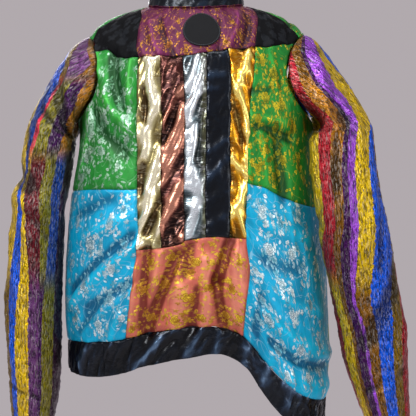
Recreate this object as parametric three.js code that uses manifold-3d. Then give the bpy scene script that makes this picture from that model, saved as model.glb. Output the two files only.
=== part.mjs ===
// Patchwork bomber jacket, worn: a hollow shell of cut cloth pieces round a general figure.
// Millimetres, +Z up, the front faces -Y. The origin is where the shoulders carry the jacket,
// in the middle of the neck base.
import * as THREE from "three";
import { mergeVertices } from "three/addons/utils/BufferGeometryUtils.js";
import Module from "manifold-3d";

const wasm = await Module();
wasm.setup();

const WALL = 2;
const SEAM_GAP = 0.7;
const ARMPIT_Z = -200;
const BODY_EXPONENT = 2.25;
const NECK = { halfWidth: 80, back: 58, front: 64 };
const BAND_RING = { halfWidth: 219, back: 119, front: 127 };
const ARMHOLE = { middleDeg: 90, back: 36, front: 40, height: 0.52, squareness: 0.85 };
const ZIP = {
  frontEdge: 5,
  tapeIn: 3.1,
  tapeOut: 14,
  tapeThick: 1,
  tapeLow: -0.995,
  chain: 2.7,
  chainThick: 2.4,
  chainSink: 0.6,
  chainLow: -0.99,
  top: 1.9,
};
const PATCH = {
  radius: 29.5,
  deg: -6.7,
  level: 1.725,
  mmPerDeg: 2.52,
  mmPerLevel: 184,
  lift: 1.2,
  thick: 1.3,
  calm: 1.25,
};
const COLLAR_HEIGHT = 56;
const NECK_LEVEL = 1.9995;
const NECK_EASE = 2.2;
const CHEST_LEVEL = 1.6;
const FOLD_FADE = 1.6;
const ARM_STEP = 15;

const rad = (deg) => (deg * Math.PI) / 180;
const mix = (a, b, f) => a + (b - a) * f;
const clamp = (x, low, high) => Math.min(Math.max(x, low), high);
const power = (v, p) => Math.sign(v) * Math.abs(v) ** p;

// A smooth curve through the rows of a table: the first column is the place, the asked column the value.
function curve(rows, column = 1) {
  const x = rows.map((row) => row[0]);
  const y = rows.map((row) => row[column]);
  const last = x.length - 1;
  const slope = y.map((_, i) => {
    const a = Math.max(i - 1, 0);
    const b = Math.min(i + 1, last);
    return (y[b] - y[a]) / (x[b] - x[a]);
  });
  return (place) => {
    const p = clamp(place, x[0], x[last]);
    let i = 0;
    while (i < last - 1 && p >= x[i + 1]) i += 1;
    const h = x[i + 1] - x[i];
    const s = (p - x[i]) / h;
    return (
      (2 * s ** 3 - 3 * s ** 2 + 1) * y[i] +
      (s ** 3 - 2 * s ** 2 + s) * h * slope[i] +
      (3 * s ** 2 - 2 * s ** 3) * y[i + 1] +
      (s ** 3 - s ** 2) * h * slope[i + 1]
    );
  };
}

// Girth runs in degrees: 0 at the centre back, 90 at the wearer's left side, 180 at the centre front.
// Columns: girth, height of the band's upper seam, height of the band's lower edge.
const BAND = [
  [-180, -541, -590],
  [-150, -556, -606],
  [-120, -604, -655],
  [-90, -645, -692],
  [-69, -648, -694],
  [-53, -637, -686],
  [-42, -615, -672],
  [-35, -594, -650],
  [-29, -572, -624],
  [-23, -545, -592],
  [-16, -530, -573],
  [-9, -522, -566],
  [0, -524, -573],
  [10, -530, -582],
  [18, -537, -589],
  [28, -546, -601],
  [42, -551, -609],
  [60, -553, -609],
  [90, -552, -600],
  [120, -546, -595],
  [150, -542, -591],
  [180, -541, -590],
];
const bandTop = curve(BAND, 1);
const bandLow = curve(BAND, 2);

// Level 0 is the band's seam, 1 the armpit. Columns: level, half width, depth to the back, to the front.
const LOWER = [
  [0, 221, 122, 130],
  [0.08, 224, 130, 137],
  [0.25, 225, 134, 140],
  [0.5, 221, 131, 138],
  [0.75, 212, 124, 134],
  [0.9, 203, 120, 130],
  [1, 200, 118, 128],
];
const halfWidth = curve(LOWER, 1);
const backDepth = curve(LOWER, 2);
const frontDepth = curve(LOWER, 3);

// Level 1 is the armpit, 2 the neck. Columns: girth, squareness of the rise, neck height, corner height.
const UPPER = [
  [0, 2.1, 8, -58],
  [45, 2.4, 12, -42],
  [70, 3.2, 15, -24],
  [90, 4.6, 15, -15],
  [110, 3.4, 4, -30],
  [135, 2.6, -15, -52],
  [180, 2.2, -48, -90],
];
const riseExponent = curve(UPPER, 1);
const neckHeight = curve(UPPER, 2);
const cornerHeight = curve(UPPER, 3);

function ring(across, back, front, exponent, deg) {
  const s = Math.sin(rad(deg));
  const c = Math.cos(rad(deg));
  const depth = c > 0 ? back : front;
  return [across * power(s, 2 / exponent), depth * power(c, 2 / exponent)];
}

// The smooth body: level -1 to 0 is the hem band, 0 to 1 the lower body, 1 to 2 the chest and shoulders.
function bodyForm(deg, level) {
  const low = clamp(level, 0, 1);
  let [x, y] = ring(halfWidth(low), backDepth(low), frontDepth(low), BODY_EXPONENT, deg);
  const top = bandTop(deg);
  if (level < 0) {
    const [bx, by] = ring(BAND_RING.halfWidth, BAND_RING.back, BAND_RING.front, BODY_EXPONENT, deg);
    return new THREE.Vector3(mix(x, bx, -level), mix(y, by, -level), mix(top, bandLow(deg), -level));
  }
  if (level <= 1) return new THREE.Vector3(x, y, mix(top, ARMPIT_Z, level));
  const turn = rad(90 * Math.min(level - 1, 1));
  const p = 2 / riseExponent(Math.abs(deg));
  const inward = 1 - Math.max(Math.cos(turn), 0) ** p;
  const up = Math.sin(turn) ** p;
  const neck = neckHeight(Math.abs(deg));
  const corner = cornerHeight(Math.abs(deg));
  const [nx, ny] = ring(NECK.halfWidth, NECK.back, NECK.front, 2, deg);
  return new THREE.Vector3(
    mix(x, nx, inward),
    mix(y, ny, inward),
    ARMPIT_Z + up * (corner - ARMPIT_Z) + inward * (neck - corner),
  );
}

// Unrolled cloth in millimetres: across from the centre back, and up from the armpit line.
const MM_PER_DEG = 3.6;
function unrolled(deg, level) {
  const up = level > 1 ? 215 * (level - 1) : level > 0 ? 335 * (level - 1) : -335 + 50 * level;
  return [deg * MM_PER_DEG, up];
}

// Folds as soft ridges (+) and troughs (-). Columns: start across, start up, end across, end up,
// half width, height.
const BODY_FOLDS = [
  [238, 98, 202, 71, 9.5, 6],
  [169, 97, 128, 37, 13, -7],
  [117, 96, 106, 44, 10, 3.5],
  [166, 40, 101, 1, 10, 3.5],
  [189, 13, 112, -35, 13, -3.5],
  [216, 3, 230, -54, 10, 3.5],
  [72, 95, 56, 42, 9.5, 3.5],
  [76, 53, 67, 9, 9.5, -3.5],
  [47, 32, 67, 1, 9.5, 3.5],
  [41, -35, 58, -99, 9.5, 3.5],
  [68, -171, 50, -109, 9.5, 3.5],
  [58, -168, 40, -126, 9.5, -3.5],
  [9, 58, 34, 9, 9.5, 3.5],
  [7, 26, 34, -60, 9.5, 4],
  [5, -10, 36, -94, 9.5, 3.5],
  [13, -102, 34, -164, 9.5, 3.5],
  [-11, 108, 2, 55, 9.5, 3.5],
  [-22, 96, 2, 12, 9.5, 4],
  [-7, -2, -2, -95, 9.5, 3.5],
  [-18, 40, -11, -54, 9.5, -3.5],
  [-27, 74, -50, 75, 9.5, 3.5],
  [-25, 54, -41, 56, 9.5, 3.5],
  [-27, -37, -52, -18, 9.5, 3.5],
  [-23, -84, -58, -49, 9.5, 3.5],
  [-115, 108, -85, 66, 9.5, 3.5],
  [-77, 48, -90, -5, 9.5, 4],
  [-90, -5, -90, -60, 9.5, 3.5],
  [-63, -52, -85, -74, 9.5, 3.5],
  [-88, -77, -72, -119, 9.5, 3.5],
  [-65, -132, -79, -169, 9.5, 3.5],
  [56, -201, 63, -318, 9.5, -5],
  [14, -216, 56, -333, 9.5, -7.5],
  [-54, -188, -34, -258, 9.5, -7.5],
  [-34, -258, -43, -328, 9.5, -7],
  [-9, -271, -2, -335, 9.5, -5],
  [7, -270, 13, -328, 10, 4],
  [-22, -224, -18, -323, 9.5, 4],
  [-67, -206, -65, -312, 11, 4],
  [-2, -196, 2, -245, 9.5, -3.5],
  [221, -271, 76, -191, 10, 7],
  [227, -253, 86, -174, 9.5, -4],
  [171, -280, 85, -248, 9.5, -4],
  [122, -330, 104, -298, 9.5, 3.5],
  [-104, -250, -94, -307, 9.5, -4],
  [-115, -268, -324, -281, 11, 5],
  [-124, -298, -286, -290, 9.5, -4],
  [-157, -328, -295, -318, 12, 5],
  [-112, 3, -184, -10, 9.5, -5],
  [-108, 12, -175, 4, 9.5, 3.5],
  [-153, -27, -155, -80, 12, -4],
  [-119, -15, -119, -72, 10, 3.5],
  [-153, 192, -67, 113, 9.5, 4],
  [-184, 187, -108, 119, 9.5, -4],
  [-76, 172, -50, 114, 9.5, -3.5],
  [119, 169, 56, 108, 9.5, 3.5],
  [95, 178, 32, 112, 9.5, -3.5],
  [277, 137, 158, 111, 10, 3.5],
  [77, -384, 36, -348, 9.5, 3.5],
  [520, 40, 575, -60, 13, 4],
  [470, -20, 560, -150, 14, -4],
  [610, -120, 560, -250, 13, 4],
  [430, -190, 520, -300, 14, 5],
  [590, -290, 500, -330, 12, -3.5],
  [-520, 30, -590, -70, 13, 4],
  [-470, -30, -550, -160, 14, -4],
  [-600, -130, -540, -260, 13, 4],
  [-420, -230, -520, -320, 14, 5],
  [-600, -280, -560, -330, 12, -3.5],
  [395, -150, 350, -280, 13, 3.5],
  [-395, -170, -350, -290, 13, 3.5],
];

function fold(table, across, up) {
  let height = 0;
  for (const [ax, ay, bx, by, half, rise] of table) {
    const dx = bx - ax;
    const dy = by - ay;
    const long2 = dx * dx + dy * dy;
    const s = ((across - ax) * dx + (up - ay) * dy) / long2;
    const off = ((across - ax) * dy - (up - ay) * dx) / Math.sqrt(long2);
    const past = Math.max(-s, s - 1, 0) * Math.sqrt(long2);
    const ends = Math.exp(-((past / (FOLD_FADE * half)) ** 2));
    height += rise * ends * Math.exp(-((off / half) ** 2));
  }
  return height;
}

// A surface with its folds: the point, and the way out of the cloth there.
function normalOf(surface, a, b, da, db) {
  const alongA = surface(a + da, b).sub(surface(a - da, b));
  const alongB = surface(a, b + db).sub(surface(a, b - db));
  return alongA.cross(alongB).normalize();
}
const bodyWay = (deg, level) => normalOf(bodyForm, deg, level, -0.6, 0.012);
function patchCalm(deg, level) {
  const across = (deg - PATCH.deg) * PATCH.mmPerDeg;
  const up = (level - PATCH.level) * PATCH.mmPerLevel;
  const far = Math.hypot(across, up) / (PATCH.radius * PATCH.calm);
  return 1 - Math.exp(-(far ** 6));
}
function body(deg, level) {
  const [across, up] = unrolled(deg, level);
  const height = fold(BODY_FOLDS, across, up) * patchCalm(deg, level);
  return bodyForm(deg, level).addScaledVector(bodyWay(deg, level), height);
}
const bodyOut = (deg, level) => normalOf(body, deg, level, -0.8, 0.016);

// The armhole's edge: 0 at the shoulder point, 90 at the back, 180 at the armpit, 270 at the front.
function armhole(turn, side) {
  const s = Math.sin(rad(turn));
  const reach = s > 0 ? ARMHOLE.back : ARMHOLE.front;
  const deg = ARMHOLE.middleDeg - reach * power(s, ARMHOLE.squareness);
  return [side * deg, 1 + (ARMHOLE.height * (1 + Math.cos(rad(turn)))) / 2];
}
const SEAM_TURN = ARM_STEP;
const YOKE_TURN = { left: 3 * ARM_STEP, right: 2 * ARM_STEP };
const [SHOULDER_SEAM_DEG, SHOULDER_POINT] = armhole(SEAM_TURN, 1);

// Seams that run up and down. Columns: level, girth.
const SEAM_LEFT = curve([
  [0, 26],
  [0.14, 23.5],
  [0.3, 21.5],
  [0.42, 19.7],
  [0.7, 21],
  [0.95, 23],
  [1.18, 24.2],
  [1.47, 28.5],
  [1.56, 33],
  [1.7, 38.5],
  [1.87, 50],
  [1.97, 69],
  [NECK_LEVEL, SHOULDER_SEAM_DEG],
]);
const SEAM_RIGHT = curve([
  [0, -20.5],
  [0.19, -22],
  [0.34, -23.6],
  [0.48, -22],
  [0.74, -23.5],
  [0.95, -25.5],
  [1.18, -27.8],
  [1.54, -38],
  [1.68, -46],
  [1.87, -62],
  [1.97, -73],
  [NECK_LEVEL, -SHOULDER_SEAM_DEG],
]);
// Neck seam: lower behind, where the collar is sewn on, and at the neck's ring elsewhere.
const NECK_LINE_LOW = 1.966;
const neckLine = curve([
  [-180, NECK_LEVEL],
  [-80, NECK_LEVEL],
  [-62, 1.99],
  [-35, 1.97],
  [0, NECK_LINE_LOW],
  [35, 1.97],
  [62, 1.99],
  [80, NECK_LEVEL],
  [180, NECK_LEVEL],
]);
const STRIP_SEAMS = [
  SEAM_LEFT,
  curve([
    [0.41, 9.5],
    [0.74, 10.5],
    [1.18, 11.5],
    [1.48, 15],
  ]),
  curve([
    [0.43, 1.2],
    [0.74, 1.5],
    [1.19, 1.6],
    [1.5, 3.4],
  ]),
  curve([
    [0.45, -5.5],
    [0.74, -5.5],
    [1.19, -6.4],
    [1.52, -7.5],
  ]),
  curve([
    [0.46, -15],
    [0.74, -16],
    [1.18, -17.6],
    [1.53, -20.3],
  ]),
  SEAM_RIGHT,
];

// Seams that run across. Columns: girth, level.
const CORAL_TOP = curve([
  [-22.2, 0.475],
  [-15, 0.46],
  [-5, 0.45],
  [1, 0.437],
  [3, 0.42],
  [9.5, 0.412],
  [19.6, 0.415],
]);
const PLUM_LOW = curve([
  [-38, 1.54],
  [-20, 1.53],
  [-7.5, 1.52],
  [3, 1.5],
  [15.5, 1.485],
  [28.5, 1.472],
]);
const GREEN_LOW = curve([
  [-90, 0.715],
  [-58.5, 0.72],
  [-39, 0.74],
  [-30.5, 0.75],
  [-23.5, 0.742],
  [20, 0.712],
  [42, 0.72],
  [90, 0.715],
]);
const YOKE_LOW_LEFT = curve([
  [28.5, 1.472],
  [37.5, 1.458],
  [46, 1.462],
  [52, 1.49],
  [57, 1.488],
  armhole(YOKE_TURN.left, 1),
]);
const YOKE_LOW_RIGHT = curve([
  armhole(YOKE_TURN.right, -1),
  [-60, 1.512],
  [-45.5, 1.522],
  [-38, 1.54],
]);

// A four-sided patch of cloth between its four edges, each a function from 0 to 1 to [girth, level].
function patchBetween(low, high, left, right) {
  const corners = [low(0), low(1), high(0), high(1)];
  return (u, v) =>
    [0, 1].map((k) => {
      const across = mix(low(u)[k], high(u)[k], v);
      const up = mix(left(v)[k], right(v)[k], u);
      const flat = mix(mix(corners[0][k], corners[1][k], u), mix(corners[2][k], corners[3][k], u), v);
      return across + up - flat;
    });
}

// The place where a seam that runs up meets one that runs across.
function meeting(upSeam, acrossSeam) {
  let level = acrossSeam(0);
  for (let i = 0; i < 30; i += 1) level = mix(level, acrossSeam(upSeam(level)), 0.7);
  return [upSeam(level), level];
}
// Levels up to the neck, closer together where the shoulder lies flat.
const towardNeck = (from, to, v) => to - (to - from) * (1 - v) ** NECK_EASE;
const alongUp = (seam, from, to) => (v) => {
  const level = to > NECK_LINE_LOW - 0.001 ? towardNeck(from, to, v) : mix(from, to, v);
  return [seam(level), level];
};
const alongAcross = (seam, from, to) => (u) => {
  const deg = mix(from, to, u);
  return [deg, seam(deg)];
};
function seamedPatch(leftSeam, rightSeam, lowSeam, highSeam) {
  const lowLeft = meeting(leftSeam, lowSeam);
  const lowRight = meeting(rightSeam, lowSeam);
  const highLeft = meeting(leftSeam, highSeam);
  const highRight = meeting(rightSeam, highSeam);
  return patchBetween(
    alongAcross(lowSeam, lowLeft[0], lowRight[0]),
    alongAcross(highSeam, highLeft[0], highRight[0]),
    alongUp(leftSeam, lowLeft[1], highLeft[1]),
    alongUp(rightSeam, lowRight[1], highRight[1]),
  );
}

const group = new THREE.Group();
const paint = (colour, roughness, metalness) =>
  new THREE.MeshStandardMaterial({ color: colour, roughness, metalness });

function addMesh(name, geometry, material) {
  geometry.computeVertexNormals();
  const mesh = new THREE.Mesh(geometry, material);
  mesh.name = name;
  group.add(mesh);
}

// A sheet of cloth: a thin box of many cells, bent so that its upper skin lies on the surface.
function sheetGeometry(outer, wayOut, columns, rows, thick = WALL, sink = 0) {
  const geometry = new THREE.BoxGeometry(1, 1, 1, columns, rows, 1);
  const place = geometry.getAttribute("position");
  for (let i = 0; i < place.count; i += 1) {
    const u = place.getX(i) + 0.5;
    const v = place.getY(i) + 0.5;
    const depth = sink + (place.getZ(i) > 0 ? 0 : thick);
    const point = outer(u, v).addScaledVector(wayOut(u, v), -depth);
    place.setXYZ(i, point.x, point.y, point.z);
  }
  geometry.deleteAttribute("uv");
  return geometry;
}

// How long a line over a surface is, to set a seam's gap in the patch's own measure.
function measured(at, steps = 12) {
  let long = 0;
  for (let i = 0; i < steps; i += 1) long += at(i / steps).distanceTo(at((i + 1) / steps));
  return long;
}

function addPanel(name, material, patch, columns, rows, thick = WALL, sink = 0) {
  const place = (u, v) => body(...patch(u, v));
  const insetU = SEAM_GAP / 2 / Math.min(measured((f) => place(f, 0.05)), measured((f) => place(f, 0.95)));
  const insetV = SEAM_GAP / 2 / Math.min(measured((f) => place(0.05, f)), measured((f) => place(0.95, f)));
  const inner = (u, v) => patch(mix(insetU, 1 - insetU, u), mix(insetV, 1 - insetV, v));
  const outer = (u, v) => body(...inner(u, v));
  const wayOut = (u, v) => bodyOut(...inner(u, v));
  addMesh(name, sheetGeometry(outer, wayOut, columns, rows, thick, sink), material);
}

// Back: centre yoke, five strips and the lower middle.
const coralLow = () => 0;
addPanel("back_yoke_plum", paint(0x5c1a44, 0.5, 0.3), seamedPatch(
  SEAM_LEFT,
  SEAM_RIGHT,
  PLUM_LOW,
  neckLine,
), 25, 8);
const STRIPS = [
  ["back_strip_champagne", 0xb8ac84, 0.3, 0.8],
  ["back_strip_copper", 0x8a5648, 0.32, 0.8],
  ["back_strip_silver", 0xa9b4ba, 0.28, 0.85],
  ["back_strip_black", 0x141a22, 0.22, 0.6],
  ["back_strip_gold", 0xd0940f, 0.3, 0.85],
];
STRIPS.forEach(([name, colour, roughness, metalness], i) => {
  const patch = seamedPatch(STRIP_SEAMS[i], STRIP_SEAMS[i + 1], CORAL_TOP, PLUM_LOW);
  addPanel(name, paint(colour, roughness, metalness), patch, 5, 12);
});
addPanel("back_panel_coral", paint(0xc26a58, 0.5, 0.3), seamedPatch(
  SEAM_LEFT,
  SEAM_RIGHT,
  coralLow,
  CORAL_TOP,
), 20, 7);

// Back: shoulder yokes, green chest sides and turquoise lower sides.
function turnedRound(side, low, high, outer, inner) {
  if (side > 0) return patchBetween(low, high, outer, inner);
  const mirror = (edge) => (x) => edge(1 - x);
  return patchBetween(mirror(low), mirror(high), inner, outer);
}
function yokePatch(side, seam, lowSeam, turn) {
  const innerLow = meeting(seam, lowSeam);
  const outerLow = armhole(turn, side);
  const outer = (v) => armhole(mix(turn, SEAM_TURN, v), side);
  const low = alongAcross(lowSeam, outerLow[0], innerLow[0]);
  const high = (u) => [side * SHOULDER_SEAM_DEG, towardNeck(SHOULDER_POINT, NECK_LEVEL, u)];
  return turnedRound(side, low, high, outer, alongUp(seam, innerLow[1], NECK_LEVEL));
}
function greenPatch(side, seam, yokeSeam, turn, underarmRows, rows) {
  const innerLow = meeting(seam, GREEN_LOW);
  const innerHigh = meeting(seam, yokeSeam);
  const outerHigh = armhole(turn, side);
  const underarm = underarmRows / rows;
  const outer = (v) =>
    v < underarm
      ? [side * 90, mix(GREEN_LOW(side * 90), 1, v / underarm)]
      : armhole(mix(180, turn, (v - underarm) / (1 - underarm)), side);
  const low = alongAcross(GREEN_LOW, side * 90, innerLow[0]);
  const high = alongAcross(yokeSeam, outerHigh[0], innerHigh[0]);
  return turnedRound(side, low, high, outer, alongUp(seam, innerLow[1], innerHigh[1]));
}
const BLACK_CLOTH = () => paint(0x14161b, 0.6, 0.1);
addPanel("back_yoke_left", BLACK_CLOTH(), yokePatch(1, SEAM_LEFT, YOKE_LOW_LEFT, YOKE_TURN.left), 10, 8);
addPanel("back_yoke_right", BLACK_CLOTH(), yokePatch(-1, SEAM_RIGHT, YOKE_LOW_RIGHT, YOKE_TURN.right), 10, 8);
const GREEN_SILVER = () => paint(0x2f9a4a, 0.5, 0.25);
const GREEN_GOLD = () => paint(0x2aa050, 0.5, 0.25);
const UNDERARM_ROWS = 5;
const armRows = (turn) => UNDERARM_ROWS + (180 - turn) / ARM_STEP;
const leftRows = armRows(YOKE_TURN.left);
const rightRows = armRows(YOKE_TURN.right);
addPanel(
  "back_side_green_left",
  GREEN_SILVER(),
  greenPatch(1, SEAM_LEFT, YOKE_LOW_LEFT, YOKE_TURN.left, UNDERARM_ROWS, leftRows),
  10,
  leftRows,
);
addPanel(
  "back_side_green_right",
  GREEN_GOLD(),
  greenPatch(-1, SEAM_RIGHT, YOKE_LOW_RIGHT, YOKE_TURN.right, UNDERARM_ROWS, rightRows),
  10,
  rightRows,
);
const TURQUOISE = () => paint(0x0f9fc8, 0.45, 0.3);
const sideLeft = () => 90;
const sideRight = () => -90;
addPanel("back_side_turquoise_left", TURQUOISE(), seamedPatch(
  sideLeft,
  SEAM_LEFT,
  coralLow,
  GREEN_LOW,
), 13, 14);
addPanel("back_side_turquoise_right", TURQUOISE(), seamedPatch(
  SEAM_RIGHT,
  sideRight,
  coralLow,
  GREEN_LOW,
), 13, 9);

// The girth at which the front is a given distance from its middle line.
function frontGirth(across, level) {
  let low = 150;
  let high = 180;
  for (let i = 0; i < 30; i += 1) {
    const middle = (low + high) / 2;
    if (Math.abs(bodyForm(middle, level).x) > across) low = middle;
    else high = middle;
  }
  return low;
}

// Fronts, one piece each side, from the band up to the neck and over the shoulder.
const FRONT_ROWS = { underarm: 9, armhole: (180 + SEAM_TURN) / ARM_STEP, shoulder: 6 };
const frontRows = FRONT_ROWS.underarm + FRONT_ROWS.armhole + FRONT_ROWS.shoulder;
const frontLevel = (v) => {
  const shoulder = 1 - FRONT_ROWS.shoulder / frontRows;
  const underarm = FRONT_ROWS.underarm / frontRows;
  if (v < underarm) return v / underarm;
  if (v < shoulder) return mix(1, CHEST_LEVEL, (v - underarm) / (shoulder - underarm));
  return towardNeck(CHEST_LEVEL, NECK_LEVEL, (v - shoulder) / (1 - shoulder));
};
function frontPatch(side) {
  const underarm = FRONT_ROWS.underarm / frontRows;
  const shoulder = 1 - FRONT_ROWS.shoulder / frontRows;
  const outer = (v) => {
    if (v < underarm) return [side * 90, v / underarm];
    if (v > shoulder) {
      const over = (v - shoulder) / (1 - shoulder);
      return [side * SHOULDER_SEAM_DEG, towardNeck(SHOULDER_POINT, NECK_LEVEL, over)];
    }
    const share = (v - underarm) / (shoulder - underarm);
    return armhole(mix(180, 360 + SEAM_TURN, share), side);
  };
  const middle = (v) => [side * frontGirth(ZIP.frontEdge, frontLevel(v)), frontLevel(v)];
  const across = (level, outerDeg) => (u) => [
    side * mix(outerDeg, frontGirth(ZIP.frontEdge, level), u),
    level,
  ];
  const low = across(0, 90);
  const high = across(NECK_LEVEL, SHOULDER_SEAM_DEG);
  if (side < 0) return patchBetween(low, high, outer, middle);
  const mirror = (edge) => (x) => edge(1 - x);
  return patchBetween(mirror(low), mirror(high), middle, outer);
}
addPanel("front_left", GREEN_SILVER(), frontPatch(1), 11, frontRows);
addPanel("front_right", GREEN_GOLD(), frontPatch(-1), 11, frontRows);

// Hem band: a back piece and two side pieces, closed by the zip in front.
const WET_BLACK = () => paint(0x10151d, 0.25, 0.45);
const BAND_TOP_LEVEL = -0.02;
const bandLevel = (v) => mix(-1, BAND_TOP_LEVEL, v);
function bandPatch(from, to) {
  const across = (level) => (u) => [mix(from(level), to(level), u), level];
  return patchBetween(
    across(-1),
    across(BAND_TOP_LEVEL),
    (v) => [from(bandLevel(v)), bandLevel(v)],
    (v) => [to(bandLevel(v)), bandLevel(v)],
  );
}
const BAND_SEAM_LEFT = 39;
const BAND_SEAM_RIGHT = -96;
const bandFrontEdge = (side) => (level) => side * frontGirth(ZIP.frontEdge, level);
const fixed = (deg) => () => deg;
addPanel("hem_band_back", WET_BLACK(), bandPatch(fixed(BAND_SEAM_LEFT), fixed(BAND_SEAM_RIGHT)), 36, 3);
addPanel("hem_band_left", WET_BLACK(), bandPatch(bandFrontEdge(1), fixed(BAND_SEAM_LEFT)), 24, 3);
addPanel("hem_band_right", WET_BLACK(), bandPatch(fixed(BAND_SEAM_RIGHT), bandFrontEdge(-1)), 14, 3);

// Collar: a standing band round the neck, open in front.
const COLLAR_TOP = { halfWidth: 75, back: 53, front: 59, lift: 0.45 };
const COLLAR_OPEN_DEG = 176;
const COLLAR_SEAT = { inset: 0.992, lift: 0.9 };
function collarForm(deg, up) {
  const seat = bodyForm(deg, neckLine(deg));
  const [bx, by] = ring(COLLAR_TOP.halfWidth, COLLAR_TOP.back, COLLAR_TOP.front, 2, deg);
  const top = new THREE.Vector3(bx, by, neckHeight(Math.abs(deg)) * COLLAR_TOP.lift + COLLAR_HEIGHT);
  seat.x *= COLLAR_SEAT.inset;
  seat.y *= COLLAR_SEAT.inset;
  seat.z += COLLAR_SEAT.lift;
  return seat.lerp(top, up);
}
const collarWay = (deg, up) => normalOf(collarForm, deg, up, -1, 0.05);
const collarDeg = (u) => mix(COLLAR_OPEN_DEG, -COLLAR_OPEN_DEG, u);
addMesh(
  "collar",
  sheetGeometry(
    (u, v) => collarForm(collarDeg(u), v),
    (u, v) => collarWay(collarDeg(u), v),
    36,
    3,
  ),
  WET_BLACK(),
);

// Round patch on the yoke, laid on it.
function patchPoint(across, up) {
  return [PATCH.deg - across / PATCH.mmPerDeg, PATCH.level + up / PATCH.mmPerLevel];
}
function addPatch() {
  const rings = [0, 8, 16, 23, PATCH.radius];
  const profile = [
    ...rings.map((r) => new THREE.Vector2(r, 0)),
    ...rings.slice().reverse().map((r) => new THREE.Vector2(r, 1)),
  ];
  const geometry = new THREE.LatheGeometry(profile, 28);
  const place = geometry.getAttribute("position");
  for (let i = 0; i < place.count; i += 1) {
    const where = patchPoint(place.getX(i), -place.getZ(i));
    const out = PATCH.lift + place.getY(i) * PATCH.thick;
    const point = body(...where).addScaledVector(bodyOut(...where), out);
    place.setXYZ(i, point.x, point.y, point.z);
  }
  geometry.deleteAttribute("uv");
  geometry.deleteAttribute("normal");
  addMesh("back_patch", geometry, BLACK_CLOTH());
}
addPatch();

// Sleeves. Columns: height, centre across, centre back, half width, half depth, turn in degrees.
const SLEEVE_LEFT = [
  [-215, 248, 26, 43, 56, 0],
  [-316, 263, 34, 44, 54, 0],
  [-400, 270, 38, 46, 51, 0],
  [-485, 274, 36, 47, 48, 0],
  [-570, 275, 30, 46, 46, 0],
  [-630, 276, 24, 43, 45, 0],
  [-666, 278, 21, 39, 42, 0],
  [-694, 280, 19, 35, 38, 0],
];
const SLEEVE_RIGHT = [
  [-215, 246, 60, 57, 40, 36],
  [-316, 258, 80, 60, 40, 34],
  [-370, 267, 76, 59, 43, 24],
  [-430, 279, 60, 57, 45, 12],
  [-502, 292, 48, 56, 46, 6],
  [-570, 303, 38, 54, 45, 0],
  [-630, 314, 30, 45, 42, 0],
  [-664, 321, 27, 40, 39, 0],
  [-690, 327, 25, 35, 37, 0],
];
const HEAD_SHARE = 0.3;
const SLEEVE_EXPONENT = 2.15;
const ARMHOLE_INSET = 0.6;

const ARMPIT_EASE = { left: 10, right: 72 };
function sleeveForm(rows, side) {
  const ease = side > 0 ? ARMPIT_EASE.left : ARMPIT_EASE.right;
  const places = rows.map((row, i) => [i / (rows.length - 1), ...row]);
  const column = [1, 2, 3, 4, 5, 6].map((k) => curve(places, k));
  const centre = (f) => new THREE.Vector3(column[1](f), column[2](f), column[0](f));
  const along = (f) => centre(Math.min(f + 0.02, 1)).sub(centre(Math.max(f - 0.02, 0))).normalize();
  const section = (f, turn) => {
    const way = along(f);
    const out = new THREE.Vector3(1, 0, 0).addScaledVector(way, -way.x).normalize();
    const back = new THREE.Vector3().crossVectors(out, way).normalize();
    const tilt = rad(column[5](f));
    const [p, q] = [
      power(Math.cos(rad(turn)), 2 / SLEEVE_EXPONENT) * column[3](f),
      power(Math.sin(rad(turn)), 2 / SLEEVE_EXPONENT) * column[4](f),
    ];
    return centre(f)
      .addScaledVector(out, p * Math.cos(tilt) + q * Math.sin(tilt))
      .addScaledVector(back, q * Math.cos(tilt) - p * Math.sin(tilt));
  };
  const armholeMiddle = new THREE.Vector3();
  const STEPS = 36;
  for (let i = 0; i < STEPS; i += 1) {
    armholeMiddle.addScaledVector(bodyForm(...armhole((360 * i) / STEPS, 1)), 1 / STEPS);
  }
  const start = (turn) => {
    const edge = body(...armhole(turn, side));
    edge.x *= side;
    const inward = armholeMiddle.clone().sub(edge).normalize();
    const outward = 0.4 + 2 * (1 - Math.cos(rad(turn)));
    return edge.addScaledVector(inward, ARMHOLE_INSET).add(new THREE.Vector3(outward, 0, 0));
  };
  return (turn, f) => {
    let point;
    if (f >= HEAD_SHARE) point = section((f - HEAD_SHARE) / (1 - HEAD_SHARE), turn);
    else {
      const s = f / HEAD_SHARE;
      const c = Math.cos(rad(turn));
      const forward = Math.max(0, -Math.sin(rad(turn)));
      const leave = new THREE.Vector3(
        70 + 44 * c + 40 * forward + ease * Math.max(0, -c),
        30 * Math.sin(rad(turn)),
        -22 + 16 * c,
      );
      const arrive = along(0).multiplyScalar(78 + 52 * c);
      point = start(turn)
        .multiplyScalar(2 * s ** 3 - 3 * s ** 2 + 1)
        .addScaledVector(leave, s ** 3 - 2 * s ** 2 + s)
        .addScaledVector(section(0, turn), 3 * s ** 2 - 2 * s ** 3)
        .addScaledVector(arrive, s ** 3 - s ** 2);
    }
    point.x *= side;
    return point;
  };
}

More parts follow.
